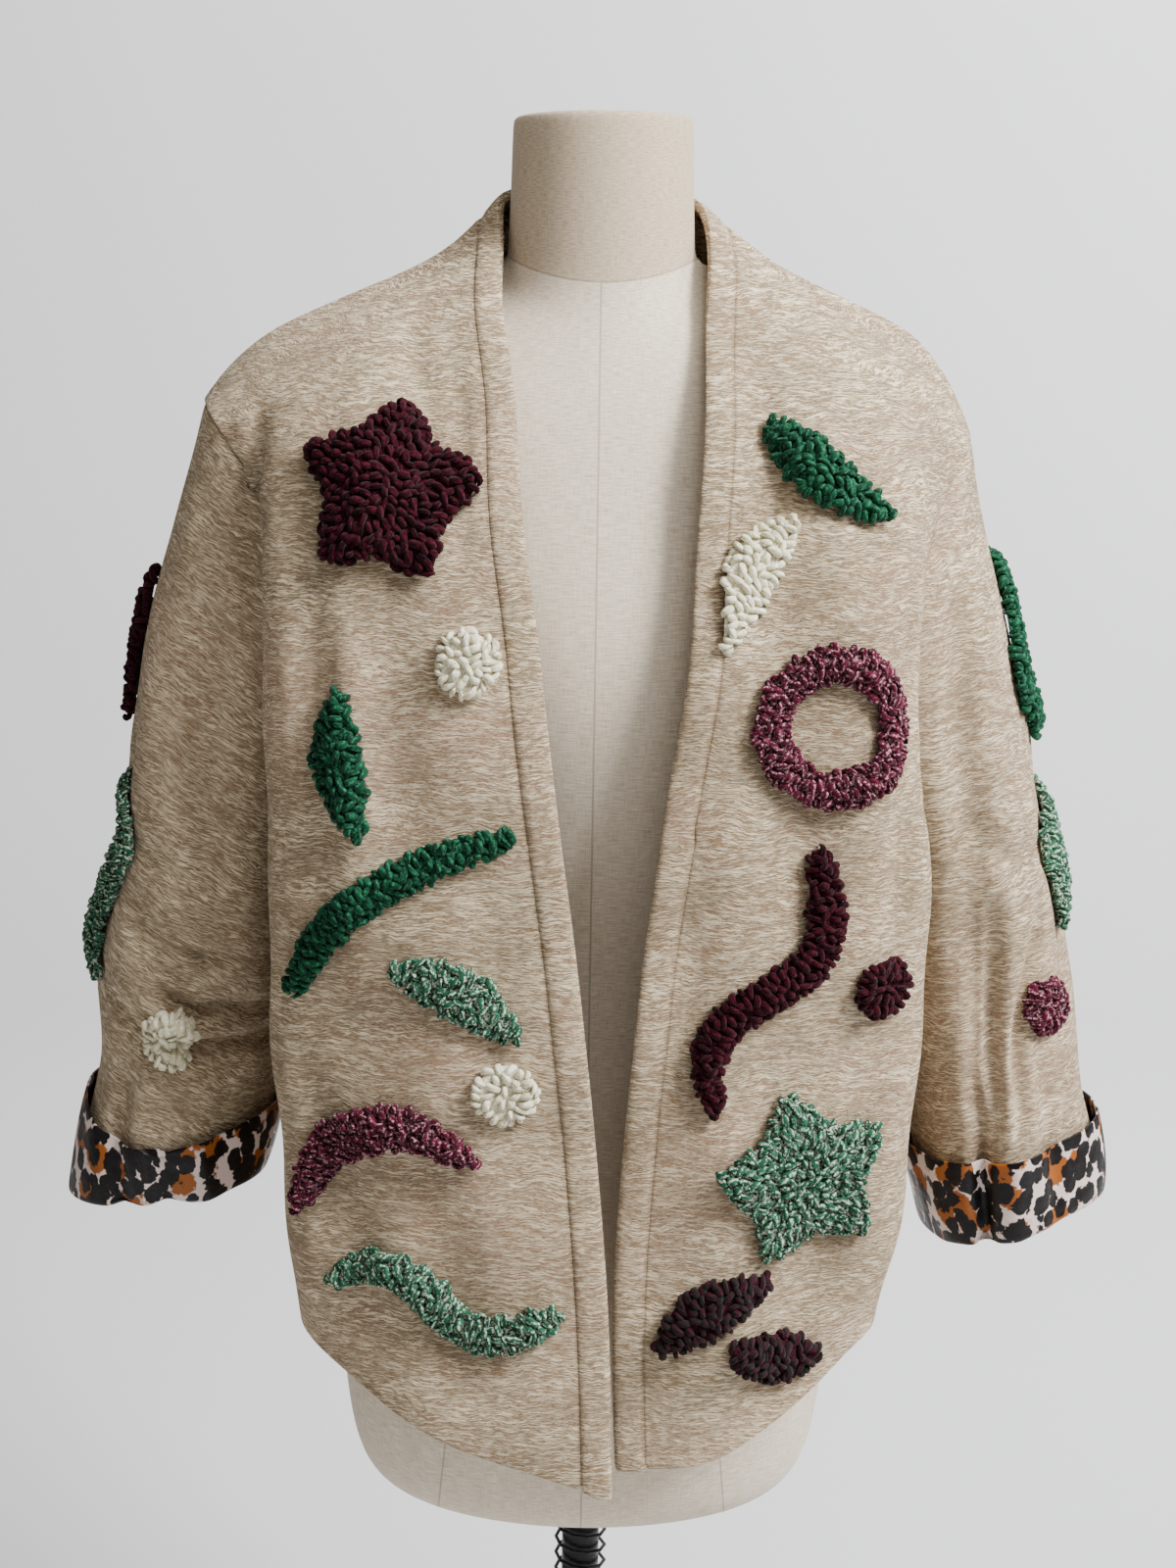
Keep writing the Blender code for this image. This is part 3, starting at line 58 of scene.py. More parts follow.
# Soft creases in the cloth. Each is a line through points (across, height) in
# the view named, with its half width, its depth (below zero is a ridge), all
# in metres. "front" and "back" look along Y, "right" and "left" along X, and
# "cuffs" looks as "front" does, at the cuffs alone.
Crease = namedtuple("Crease", "view line width depth")
CREASES = (
    # Right front, seen on the left of the photo
    Crease("front", ((-.168, 1.20), (-.160, 1.08), (-.158, .93)), .013, .0050),
    Crease("front", ((-.105, 1.23), (-.120, 1.11), (-.112, .98)), .022, .0055),
    Crease("front", ((-.145, 1.14), (-.138, 1.02), (-.136, .88)), .014, -.0030),
    Crease("front", ((-.178, .87), (-.152, .78), (-.118, .66)), .018, .0065),
    Crease("front", ((-.100, .82), (-.080, .71), (-.066, .62)), .022, .0050),
    Crease("front", ((-.060, .98), (-.052, .88), (-.042, .78)), .016, .0030),
    # Ripples beside the band, high on the chest
    Crease("front", ((-.112, 1.280), (-.098, 1.225), (-.090, 1.160)), .0100, .0050),
    Crease("front", ((-.086, 1.265), (-.079, 1.210), (-.074, 1.140)), .0075, .0036),
    Crease("front", ((-.140, 1.235), (-.128, 1.180), (-.124, 1.100)), .0110, -.0030),
    # The front's fold runs on up to the shoulder, beside the sleeve's head
    Crease("front", ((-.199, 1.225), (-.204, 1.170), (-.207, 1.09)), .009, .0090),
    # Left front
    Crease("front", ((.092, 1.26), (.106, 1.12), (.118, .93)), .024, .0060),
    Crease("front", ((.150, 1.19), (.155, 1.05), (.160, .90)), .017, -.0040),
    Crease("front", ((.178, 1.14), (.182, 1.02), (.178, .88)), .010, .0045),
    Crease("front", ((.176, .88), (.152, .77), (.122, .65)), .019, .0065),
    Crease("front", ((.082, .84), (.090, .73), (.082, .63)), .022, -.0040),
    Crease("front", ((.060, 1.02), (.056, .92), (.048, .80)), .015, .0030),
    Crease("front", ((.088, 1.275), (.094, 1.220), (.102, 1.150)), .0110, .0045),
    Crease("front", ((.140, 1.250), (.150, 1.180), (.152, 1.110)), .0120, .0040),
    # Right sleeve
    Crease("front", ((-.222, 1.18), (-.236, 1.05), (-.226, .90)), .017, .0080),
    Crease("front", ((-.292, .945), (-.262, .885), (-.214, .862)), .012, .0080),
    Crease("front", ((-.312, .875), (-.270, .832), (-.218, .822)), .009, .0070),
    Crease("front", ((-.306, 1.01), (-.286, .965), (-.252, .945)), .013, .0055),
    Crease("front", ((-.262, 1.13), (-.272, 1.04), (-.288, .93)), .012, -.0030),
    # Deep folds where the right sleeve crushes behind the front
    Crease("front", ((-.274, .872), (-.240, .855), (-.200, .852)), .0064, .0140),
    Crease("front", ((-.268, .842), (-.236, .831), (-.200, .832)), .0056, .0120),
    Crease("front", ((-.262, .906), (-.236, .892), (-.206, .890)), .0070, .0085),
    # Left sleeve, with folds that run down into the cuff
    Crease("front", ((.208, 1.14), (.226, 1.01), (.232, .86)), .013, .0085),
    Crease("front", ((.244, .94), (.251, .86), (.2545, .775)), .0066, .0115),
    Crease("front", ((.274, .93), (.271, .86), (.268, .775)), .0058, .0095),
    Crease("front", ((.234, .93), (.239, .86), (.242, .80)), .0060, .0060),
    Crease("front", ((.228, .985), (.258, .958), (.290, .965)), .012, .0055),
    Crease("front", ((.262, 1.10), (.270, 1.01), (.282, .91)), .012, -.0030),
    # Notch in the left cuff and soft dents in both, which run on past their edges
    Crease("cuffs", ((.2390, .820), (.2460, .762), (.2560, .695)), .0058, .0110),
    Crease("cuffs", ((.2600, .830), (.2680, .775), (.2760, .700)), .0090, -.0035),
    Crease("cuffs", ((.2860, .850), (.2930, .790), (.3040, .720)), .0085, .0055),
    Crease("cuffs", ((.2160, .790), (.2230, .750), (.2300, .700)), .0080, -.0030),
    Crease("cuffs", ((-.2360, .810), (-.2420, .760), (-.2380, .700)), .0110, -.0035),
    Crease("cuffs", ((-.2620, .830), (-.2680, .765), (-.2600, .700)), .0080, .0060),
    Crease("cuffs", ((-.2900, .850), (-.2990, .780), (-.2900, .700)), .0085, .0065),
    # Back and outer sleeves
    Crease("back", ((-.150, 1.16), (-.120, 1.04), (-.125, .86)), .020, .0075),
    Crease("back", ((.150, 1.14), (.128, 1.02), (.120, .84)), .018, .0075),
    Crease("back", ((-.050, .86), (-.042, .76), (-.052, .64)), .018, .0060),
    Crease("back", ((.055, .90), (.048, .78), (.060, .65)), .020, .0060),
    Crease("back", ((-.100, 1.25), (-.040, 1.235), (.030, 1.25)), .014, .0045),
    Crease("back", ((-.225, 1.14), (-.235, 1.02), (-.240, .90)), .015, .0080),
    Crease("back", ((.222, 1.12), (.232, 1.02), (.242, .90)), .015, .0080),
    Crease("back", ((-.302, .90), (-.270, .865), (-.225, .860)), .011, .0065),
    Crease("back", ((.302, .90), (.275, .865), (.230, .872)), .011, .0065),
    Crease("right", ((-.040, 1.08), (-.030, .98), (-.036, .86)), .014, .0060),
    Crease("right", ((.030, 1.02), (.026, .93), (.034, .84)), .013, .0050),
    Crease("left", ((-.035, 1.06), (-.030, .97), (-.028, .86)), .014, .0060),
    Crease("left", ((.030, 1.00), (.028, .91), (.034, .82)), .013, .0055),
)
CREASE_STEPS = 60
CREASE_TAPER = 0.6       # how bluntly a crease dies away at its ends
CREASE_REACH = 2.8       # widths at which a crease has died away
CREASE_JUMP = 0.080      # depth past which a sight line has missed the near cloth
CREASE_DEEP = 0.024      # a crease takes along what lies this far under or over it

# Slow swell of the whole cloth: (wave vector, phase), radians a metre
SWELL = (((31, 12, 47), .4), ((-22, 38, 35), 1.9), ((52, -17, 23), 3.1), ((17, 44, -61), 4.4))
SWELL_DEPTH = 0.0009
SWELL_OUTWARD = (1.0, 1.6, 0.0)   # the body is wider than it is deep
SWELL_CORE = 0.05                 # distance from the axis under which it fades

# Looped yarn: each loop shows as a plump bent lump laid across its stroke
LUMP_LENGTH = 0.0086
LUMP_RADIUS = 0.0021
LUMP_RISE = 0.0017
LUMP_DROOP = 0.9                  # how far its ends turn down, of its rise
LUMP_NOSE = 0.06                  # share of its taper cut off at each end
LUMP_BLUNT = 0.55                 # below 1, its ends are plumper
LUMP_SIDES = 7
LUMP_STEPS = 6
LUMP_PITCH = (0.0036, 0.0054)     # along the stroke and across it
LUMP_SCATTER = math.radians(34)
LUMP_TILT = 0.26
LUMP_DARTS = 12                   # random places tried for each lump's room
LUMP_SIZES = (0.75, 1.25)         # smallest and largest, of the template's size
STROKE_REACH = 0.020              # how far a stroke's direction is read over
PILE_FLOOR = 0.0016               # lumps start where the pile is this high
BED_SHARE = 0.74                  # height of the bed below the lumps, of the pile's
TINTS = (0.15, 1.0)               # range of a lump's own shade
ROUND_KINDS = ("dot_", "flower_")
SEED = 11

WOOL_NODES = ("front_right", "front_left", "back", "sleeve_right", "sleeve_left",
              "band_right", "band_left")
FINE_NODES = ("front_right", "front_left", "sleeve_right", "sleeve_left")
CUFF_NODES = ("cuff_right", "cuff_left")
FINE_LEVELS = 3          # rounds of smoothing of what shows close up
PLAIN_LEVELS = 2
WOOL_SHARP = math.radians(50)     # edges sharper than this are rims
CUFF_SHARP = math.radians(55)
SOLID_SHARP = math.radians(60)
WOOL_RIM = 0.0010        # width of the bevel that rounds a rim
CUFF_RIM = 0.0008
TUFT_RIM = 0.0010
FORM_RIM = 0.0035
STAND_NODES = ("stand_base", "stand_post", "stand_spring", "stand_collar")


def linear(red, green, blue):
    """Linear colour with alpha from sRGB values of 0 to 255."""
    def channel(value):
        value /= 255
        return value / 12.92 if value <= 0.04045 else ((value + 0.055) / 1.055) ** 2.4
    return channel(red), channel(green), channel(blue), 1.0


def add_camera():
    data = bpy.data.cameras.new("camera")
    data.lens = CAMERA_LENS
    camera = bpy.data.objects.new("camera", data)
    bpy.context.scene.collection.objects.link(camera)
    turn = (Matrix.Rotation(math.pi / 2 - CAMERA_PITCH, 4, "X")
            @ Matrix.Rotation(CAMERA_ROLL, 4, "Z"))
    camera.matrix_world = Matrix.Translation(CAMERA_PLACE) @ turn
    bpy.context.scene.camera = camera


class Nodes:
    """Short calls for building a material's node tree."""

    def __init__(self, name):
        self.material = bpy.data.materials.new(name)
        self.material.use_nodes = True
        self.tree = self.material.node_tree
        self.shader = self.tree.nodes["Principled BSDF"]

    def add(self, kind, **values):
        node = self.tree.nodes.new("ShaderNode" + kind)
        for name, value in values.items():
            setattr(node, name, value)
        return node

    def link(self, source, target):
        self.tree.links.new(source, target)

    def feed(self, socket, value):
        if hasattr(value, "is_output"):
            self.link(value, socket)
        else:
            socket.default_value = value

    def position(self):
        return self.add("TexCoord").outputs["Object"]

    def mapping(self, vector, scale, rotation=(0, 0, 0), place=(0, 0, 0)):
        node = self.add("Mapping")
        self.link(vector, node.inputs["Vector"])
        node.inputs["Scale"].default_value = scale
        node.inputs["Rotation"].default_value = rotation
        node.inputs["Location"].default_value = place
        return node.outputs["Vector"]

    def noise(self, vector, scale=1.0, detail=2.0, roughness=0.5):
        node = self.add("TexNoise")
        self.link(vector, node.inputs["Vector"])
        node.inputs["Scale"].default_value = scale
        node.inputs["Detail"].default_value = detail
        node.inputs["Roughness"].default_value = roughness
        return node.outputs["Fac"]

    def math(self, operation, a, b=0.0, clamp=False):
        node = self.add("Math", operation=operation, use_clamp=clamp)
        self.feed(node.inputs[0], a)
        self.feed(node.inputs[1], b)
        return node.outputs[0]

    def remap(self, value, low, high, out_low=0.0, out_high=1.0):
        node = self.add("MapRange")
        self.feed(node.inputs["Value"], value)
        node.inputs["From Min"].default_value = low
        node.inputs["From Max"].default_value = high
        node.inputs["To Min"].default_value = out_low
        node.inputs["To Max"].default_value = out_high
        return node.outputs["Result"]

    def mix(self, factor, a, b, blend="MIX"):
        node = self.add("Mix", data_type="RGBA", blend_type=blend)
        self.feed(node.inputs["Factor"], factor)
        self.feed(node.inputs["A"], a)
        self.feed(node.inputs["B"], b)
        return node.outputs["Result"]

    def xyz(self, vector):
        node = self.add("SeparateXYZ")
        self.link(vector, node.inputs[0])
        return node.outputs

    def bump(self, height, strength, distance, before=None):
        node = self.add("Bump")
        self.link(height, node.inputs["Height"])
        node.inputs["Strength"].default_value = strength
        node.inputs["Distance"].default_value = distance
        if before is not None:
            self.link(before, node.inputs["Normal"])
        return node.outputs["Normal"]

    def finish(self, colour, normal=None, roughness=0.9, sheen=0.0, specular=0.3):
        shader = self.shader.inputs
        self.feed(shader["Base Color"], colour)
        self.feed(shader["Roughness"], roughness)
        shader["Specular IOR Level"].default_value = specular
        shader["Sheen Weight"].default_value = sheen
        shader["Sheen Roughness"].default_value = 0.45
        if normal is not None:
            self.link(normal, shader["Normal"])
        return self.material


# Wool, in sRGB: its ground and where that turns rosy, its darkest fibres, its
# cream threads from dull to bright, and the painted shade along a seam, standing for its
# groove's shadow
WOOL_GROUND = (156, 133, 103)
WOOL_ROSY = (184, 149, 123)
WOOL_DARK = (118, 96, 72)
WOOL_THREAD = (212, 190, 154)
WOOL_BRIGHT = (244, 226, 196)
WOOL_SEAM_SHADE = (104, 80, 52)


def wool_material(name, lean):
    """Heathered wool with short crinkled cream threads, level or leaning on a sleeve, with
    painted shade along its seams.
    """
    n = Nodes(name)
    place = n.mapping(n.position(), (1, 1, 1), rotation=(0, lean, 0))
    crinkle = n.noise(n.mapping(place, (150, 150, 110)), detail=2.0, roughness=0.6)
    sway = n.noise(n.mapping(place, (28, 28, 30)), detail=1.0)
    lift = n.math("ADD", n.math("MULTIPLY", crinkle, 0.0030), n.math("MULTIPLY", sway, 0.012))
    shift = n.add("CombineXYZ")
    n.link(lift, shift.inputs[2])
    waved = n.add("VectorMath", operation="ADD")
    n.link(place, waved.inputs[0])
    n.link(shift.outputs[0], waved.inputs[1])
    waved = waved.outputs[0]
    thin = n.noise(n.mapping(waved, (170, 170, 2300)), detail=1.5, roughness=0.6)
    thick = n.noise(n.mapping(waved, (95, 95, 1400), place=(7, 3, 5)), detail=1.5, roughness=0.6)
    drift = n.noise(n.mapping(waved, (30, 30, 260)), detail=2.0)
    fibre = n.noise(n.mapping(waved, (420, 420, 3600)), detail=2.0, roughness=0.7)
    heather = n.noise(n.mapping(place, (7, 7, 9)), detail=2.0, roughness=0.55)
    bias = n.remap(drift, 0.32, 0.68, -0.028, 0.028)
    thin = n.remap(n.math("ADD", thin, bias), 0.49, 0.58)
    thick = n.remap(n.math("ADD", thick, bias), 0.52, 0.60)
    thread = n.math("MAXIMUM", n.math("MULTIPLY", thin, 0.8), thick)
    ground = n.mix(n.remap(heather, 0.42, 0.64), linear(*WOOL_GROUND), linear(*WOOL_ROSY))
    ground = n.mix(n.remap(fibre, 0.62, 0.38), ground, linear(*WOOL_DARK))
    cream = n.mix(n.remap(fibre, 0.35, 0.62), linear(*WOOL_THREAD), linear(*WOOL_BRIGHT))
    cloud = n.noise(n.mapping(place, (16, 16, 34), place=(3, 1, 2)), detail=2.0, roughness=0.5)
    share = n.math("MULTIPLY", thread, n.remap(cloud, 0.36, 0.62, 0.64, 0.96))
    colour = n.mix(share, ground, cream)
    # Painted shade: the cloth darkens near each seam, where its groove lies in shadow
    seam_shade = n.remap(n.add("Attribute", attribute_name="seam_shade").outputs["Fac"], 0.35, 0.95)
    colour = n.mix(n.math("MULTIPLY", seam_shade, 0.55), colour, linear(*WOOL_SEAM_SHADE))
    height = n.math("ADD", n.math("MULTIPLY", thread, 0.8), n.math("MULTIPLY", fibre, 0.6))
    normal = n.bump(height, 0.9, 0.0009)
    fuzz = n.noise(place, scale=1700, detail=2.0, roughness=0.7)
    normal = n.bump(fuzz, 0.4, 0.0004, normal)
    return n.finish(colour, normal, 0.95, 0.12, 0.08)


# Print of the lining, in sRGB
PRINT_WHITE = (210, 190, 182)
PRINT_OCHRE = (138, 76, 26)
PRINT_BLACK = (9, 7, 8)


def leopard_material():
    """Satin lining: black spots round ochre hearts on a pinkish white."""
    n = Nodes("lining_satin")
    place = n.position()
    drift = n.add("TexNoise")
    n.link(place, drift.inputs["Vector"])
    drift.inputs["Scale"].default_value = 75
    drift.inputs["Detail"].default_value = 3
    shift = n.add("VectorMath", operation="MULTIPLY_ADD")
    n.link(drift.outputs["Color"], shift.inputs[0])
    shift.inputs[1].default_value = (0.007, 0.007, 0.007)
    n.link(place, shift.inputs[2])
    shifted = shift.outputs[0]

    def cells(scale, turn, high):
        node = n.add("TexVoronoi")
        n.link(n.mapping(shifted, (1, 1, high), rotation=(0, turn, 0)), node.inputs["Vector"])
        node.inputs["Scale"].default_value = scale
        node.inputs["Randomness"].default_value = 0.8
        return node.outputs["Distance"]

    ragged = n.remap(n.noise(place, scale=330, detail=2.0), 0.3, 0.7, -0.06, 0.06)
    far = n.math("ADD", cells(100, 0.35, 0.74), ragged)
    dark = n.remap(far, 0.60, 0.56)
    heart = n.remap(n.math("ADD", cells(50, 0.2, 0.9), ragged), 0.50, 0.44)
    colour = n.mix(heart, linear(*PRINT_WHITE), linear(*PRINT_OCHRE))
    worn = n.remap(n.noise(place, scale=1100, detail=1.0), 0.35, 0.65, 0.985, 1.0)
    colour = n.mix(n.math("MULTIPLY", dark, worn), colour, linear(*PRINT_BLACK))
    weave = n.noise(n.mapping(place, (900, 900, 5200)), detail=1.0)
    soft = n.noise(place, scale=42, detail=2.0)
    normal = n.bump(soft, 0.55, 0.005)
    normal = n.bump(weave, 0.10, 0.0002, normal)
    return n.finish(colour, normal, 0.38, 0.0, 0.16)


# Seams of the dress form, in metres
FORM_SEAM = 0.0006       # half width of a seam's line
NECK_SEAM = 1.3085       # height of the neck seam above the form's axis
NECK_DIP = 3.2           # how it rises to the sides, by the square of X
NECK_TILT = -0.10        # below zero it is lower at the front, by Y
MIDDLE_TOP = 1.302       # where the middle seam ends
FORM_WAIST = 0.87        # height where the princess seams are closest
PRINCESS_PLACE = 0.058   # their place across, there
PRINCESS_SPREAD = 0.10   # how they spread, for each metre above or below it
PRINCESS_TOP = 1.20
FORM_RADIUS = 0.13       # of the round on which the weave is laid

# Linen, in sRGB: the canvas from dull to bright, its slubs, its worn patches,
# the painted shade on the neck, which multiplies it, and the seams
LINEN_DULL = (182, 162, 136)
LINEN_BRIGHT = (230, 218, 198)
LINEN_SLUB = (240, 230, 212)
LINEN_WORN = (186, 170, 150)
LINEN_NECK_SHADE = (226, 219, 211)
LINEN_SEAM = (120, 104, 88)


def linen_material():
    """Greige canvas with slubs both ways, the form's fine seams, and painted shade over the
    neck.
    """
    n = Nodes("form_linen")
    place = n.position()
    x, y, z = n.xyz(place)
    around = n.math("MULTIPLY", n.math("ARCTAN2", x, n.math("MULTIPLY", y, -1.0)), FORM_RADIUS)
    flat = n.add("CombineXYZ")
    n.link(around, flat.inputs[0])
    n.link(z, flat.inputs[2])
    flat = flat.outputs[0]
    weft = n.noise(n.mapping(flat, (90, 1, 1500)), detail=3.0, roughness=0.65)
    warp = n.noise(n.mapping(flat, (1500, 1, 90)), detail=3.0, roughness=0.65)
    patch = n.noise(place, scale=7, detail=3.0)
    colour = n.mix(n.remap(weft, 0.36, 0.66), linear(*LINEN_DULL), linear(*LINEN_BRIGHT))
    colour = n.mix(n.math("MULTIPLY", n.remap(warp, 0.42, 0.70), 0.55), colour,
                   linear(*LINEN_SLUB))
    colour = n.mix(n.remap(patch, 0.3, 0.7, 0.0, 0.22), colour, linear(*LINEN_WORN))
    dip = n.math("MULTIPLY", n.math("MULTIPLY", x, x), NECK_DIP)
    collar = n.math("ADD", n.math("SUBTRACT", z, dip), n.math("MULTIPLY", y, NECK_TILT))
    # Painted shade: the neck above its seam is darkened, as if in shadow
    above = n.math("GREATER_THAN", collar, NECK_SEAM)
    colour = n.mix(above, colour, linear(*LINEN_NECK_SHADE), "MULTIPLY")
    front = n.math("LESS_THAN", y, 0.0)
    below_neck = n.math("LESS_THAN", z, MIDDLE_TOP)
    wide = n.math("ABSOLUTE", x)
    middle = n.math("LESS_THAN", wide, FORM_SEAM)
    middle = n.math("MULTIPLY", n.math("MULTIPLY", middle, front), below_neck)
    bend = n.math("ABSOLUTE", n.math("SUBTRACT", z, FORM_WAIST))
    princess = n.math("ADD", n.math("MULTIPLY", bend, PRINCESS_SPREAD), PRINCESS_PLACE)
    side = n.math("LESS_THAN", n.math("ABSOLUTE", n.math("SUBTRACT", wide, princess)), FORM_SEAM)
    side = n.math("MULTIPLY", side, n.math("LESS_THAN", z, PRINCESS_TOP))
    off_neck = n.math("ABSOLUTE", n.math("SUBTRACT", collar, NECK_SEAM))
    neck = n.math("LESS_THAN", off_neck, FORM_SEAM)
    seams = n.math("MAXIMUM", n.math("MAXIMUM", middle, side), neck)
    colour = n.mix(n.math("MULTIPLY", seams, 0.45), colour, linear(*LINEN_SEAM))
    height = n.math("ADD", weft, warp)
    normal = n.bump(height, 0.30, 0.0004)
    normal = n.bump(n.math("MULTIPLY", seams, -1.0), 0.5, 0.0006, normal)
    return n.finish(colour, normal, 0.88, 0.12, 0.2)


# Dark, middle and light strand of each yarn, in sRGB, and how much of the
# light one is spun in
Yarn = namedtuple("Yarn", "dark middle light share")
YARNS = {
    "burgundy": Yarn((18, 1, 6), (48, 4, 15), (70, 11, 28), 0.30),
    "green": Yarn((3, 38, 24), (14, 70, 45), (42, 106, 76), 0.32),
    "mint": Yarn((10, 52, 35), (40, 94, 68), (184, 196, 174), 0.32),
    "cream": Yarn((206, 196, 158), (232, 226, 194), (246, 242, 224), 0.40),
    "rose": Yarn((46, 4, 18), (84, 18, 40), (182, 132, 142), 0.26),
    "moss": Yarn((18, 7, 10), (26, 36, 28), (60, 14, 30), 0.44),
}


def yarn_material(slot):
    yarn = YARNS[slot]
    n = Nodes("yarn_" + slot)
    strand = n.xyz(n.add("UVMap", uv_map="strand").outputs[0])
    tint = n.add("Attribute", attribute_name="tint").outputs["Fac"]
    twist = n.math("ADD", n.math("MULTIPLY", strand[0], 3.0), n.math("MULTIPLY", strand[1], 1.3))
    ply = n.math("SINE", n.math("MULTIPLY", n.math("ADD", twist, tint), 2 * math.pi))
    ply = n.remap(ply, -1, 1)
    speck = n.noise(n.position(), scale=620, detail=2.0, roughness=0.7)
    shade = n.mix(n.remap(tint, 0.0, 1.0), linear(*yarn.dark), linear(*yarn.middle))
    spun = n.math("ADD", n.math("MULTIPLY", ply, 0.16), n.math("MULTIPLY", speck, 0.84))
    edge = 0.5 + (0.5 - yarn.share) * 0.35
    colour = n.mix(n.remap(spun, edge - 0.04, edge + 0.07), shade, linear(*yarn.light))
    nap = n.noise(n.position(), scale=1500, detail=3.0, roughness=0.7)
    normal = n.bump(n.math("ADD", ply, n.math("MULTIPLY", speck, 1.2)), 0.7, 0.0006)
    normal = n.bump(nap, 0.9, 0.0007, normal)
    return n.finish(colour, normal, 0.92, 0.06, 0.08)


METAL_BLACK = (14, 14, 15)
METAL_WORN = (34, 34, 36)
PAINT_TONES = ((218, 218, 219), (223, 223, 224))


def metal_material():
    n = Nodes("stand_black")
    grain = n.noise(n.position(), scale=700, detail=2.0)
    wear = n.noise(n.position(), scale=25, detail=3.0)
    colour = n.mix(n.remap(wear, 0.45, 0.75), linear(*METAL_BLACK), linear(*METAL_WORN))
    n.shader.inputs["Metallic"].default_value = 0.6
    return n.finish(colour, n.bump(grain, 0.08, 0.0003), n.remap(wear, 0.3, 0.7, 0.30, 0.46),
                    0.0, 0.5)


def stage_material():
    n = Nodes("stage_paint")
    soft = n.noise(n.position(), scale=3, detail=2.0)
    colour = n.mix(soft, *(linear(*tone) for tone in PAINT_TONES))
    return n.finish(colour, None, 0.95, 0.0, 0.1)


def refined(node, levels, sharp, rim):
    """A CAD node's mesh after smooth subdivision, its sharp rims rounded at a width."""
    work = bmesh.new()
    work.from_mesh(frame["nodes"][node].data)
    bmesh.ops.remove_doubles(work, verts=work.verts, dist=WELD)
    bmesh.ops.join_triangles(work, faces=work.faces,
                             angle_face_threshold=JOIN_FACES,
                             angle_shape_threshold=JOIN_SHAPES)
    mesh = bpy.data.meshes.new(node + "_cage")
    work.to_mesh(mesh)
    work.free()
    cage = bpy.data.objects.new(node + "_cage", mesh)
    bpy.context.scene.collection.objects.link(cage)
    bevel = cage.modifiers.new("rim", "BEVEL")
    bevel.width = rim
    bevel.segments = 1
    bevel.limit_method = "ANGLE"
    bevel.angle_limit = sharp
    smooth = cage.modifiers.new("smooth", "SUBSURF")
    smooth.levels = levels
    smooth.render_levels = levels
    bpy.context.view_layer.update()
    ready = cage.evaluated_get(bpy.context.evaluated_depsgraph_get())
    result = bpy.data.meshes.new_from_object(ready)
    bpy.data.objects.remove(cage)
    bpy.data.meshes.remove(mesh)
    return result


def get_points(mesh):
    points = np.zeros(len(mesh.vertices) * 3)
    mesh.vertices.foreach_get("co", points)
    return points.reshape(-1, 3)


def set_points(mesh, points):
    mesh.vertices.foreach_set("co", np.asarray(points, np.float32).ravel())
    mesh.update()


def surface_tree(meshes):
    points, faces = [], []
    for mesh in meshes:
        start = len(points)
        points += [tuple(point) for point in get_points(mesh)]
        faces += [[start + i for i in polygon.vertices] for polygon in mesh.polygons]
    return BVHTree.FromPolygons(points, faces)


SEAM_REACH = 0.0010      # widest gap that a seam closes
SEAM_LAP = 0.00006
SEAM_SHADE_REACH = 0.0040       # how far a seam's painted shade reaches, and a band's swell fades
PANEL_SEAM_SHADE = 0.7         # strength of the painted shade at a seam between panels, beside a band's of 1
BAND_CROWN = 0.0014      # how far the doubled band swells between its edges


def close_seams(meshes):
    """Draws the rims of neighbouring panels together, marks their seams for painted shade,
    swells bands.
    """
    trees = {name: surface_tree([mesh]) for name, mesh in meshes.items()}
    moves, marks = {}, {}
    for name, mesh in meshes.items():
        points = get_points(mesh)
        mark = np.zeros(len(points))
        others = [(other, tree) for other, tree in trees.items() if other != name]
        for i, point in enumerate(points):
            for other, tree in others:
                near, _, _, far = tree.find_nearest(Vector(point), SEAM_SHADE_REACH)
                if near is None:
                    continue
                # The mark paints shade along the seam and fades a band's swell towards it
                banded = name.startswith("band_") or other.startswith("band_")
                mark[i] = max(mark[i], (1 - far / SEAM_SHADE_REACH) * (1.0 if banded else PANEL_SEAM_SHADE))
                if 0 < far < SEAM_REACH:
                    step = (np.array(near) - point) * (0.5 + SEAM_LAP / far)
                    points[i] = point + step
        moves[name], marks[name] = points, mark
    for name, mesh in meshes.items():
        points = moves[name]
        if name.startswith("band_"):
            normals = np.zeros(len(points) * 3)
            mesh.vertices.foreach_get("normal", normals)
            normals = normals.reshape(-1, 3)
            outward = (normals[:, :2] * points[:, :2]).sum(axis=1) > 0
            points = points + normals * (BAND_CROWN * (1 - marks[name]) * outward)[:, None]
        set_points(mesh, points)
        seam_shade = mesh.attributes.new("seam_shade", "FLOAT", "POINT")
        seam_shade.data.foreach_set("value", marks[name].astype(np.float32))


VIEWS = {
    "front": (Vector((0, 1, 0)), 0),
    "back": (Vector((0, -1, 0)), 0),
    "right": (Vector((1, 0, 0)), 1),
    "left": (Vector((-1, 0, 0)), 1),
    "cuffs": (Vector((0, 1, 0)), 0),
}
RAY_START = 1.0


def on_cloth(tree, view, across, height):
    """Point and outward normal of the cloth that a level view meets."""
    along, axis = VIEWS[view]
    start = Vector((0, 0, height)) - along * RAY_START
    start[axis] = across
    point, normal, _, _ = tree.ray_cast(start, along)
    if point is None:
        return None
    if normal.dot(along) > 0:
        normal = -normal
    return point, normal


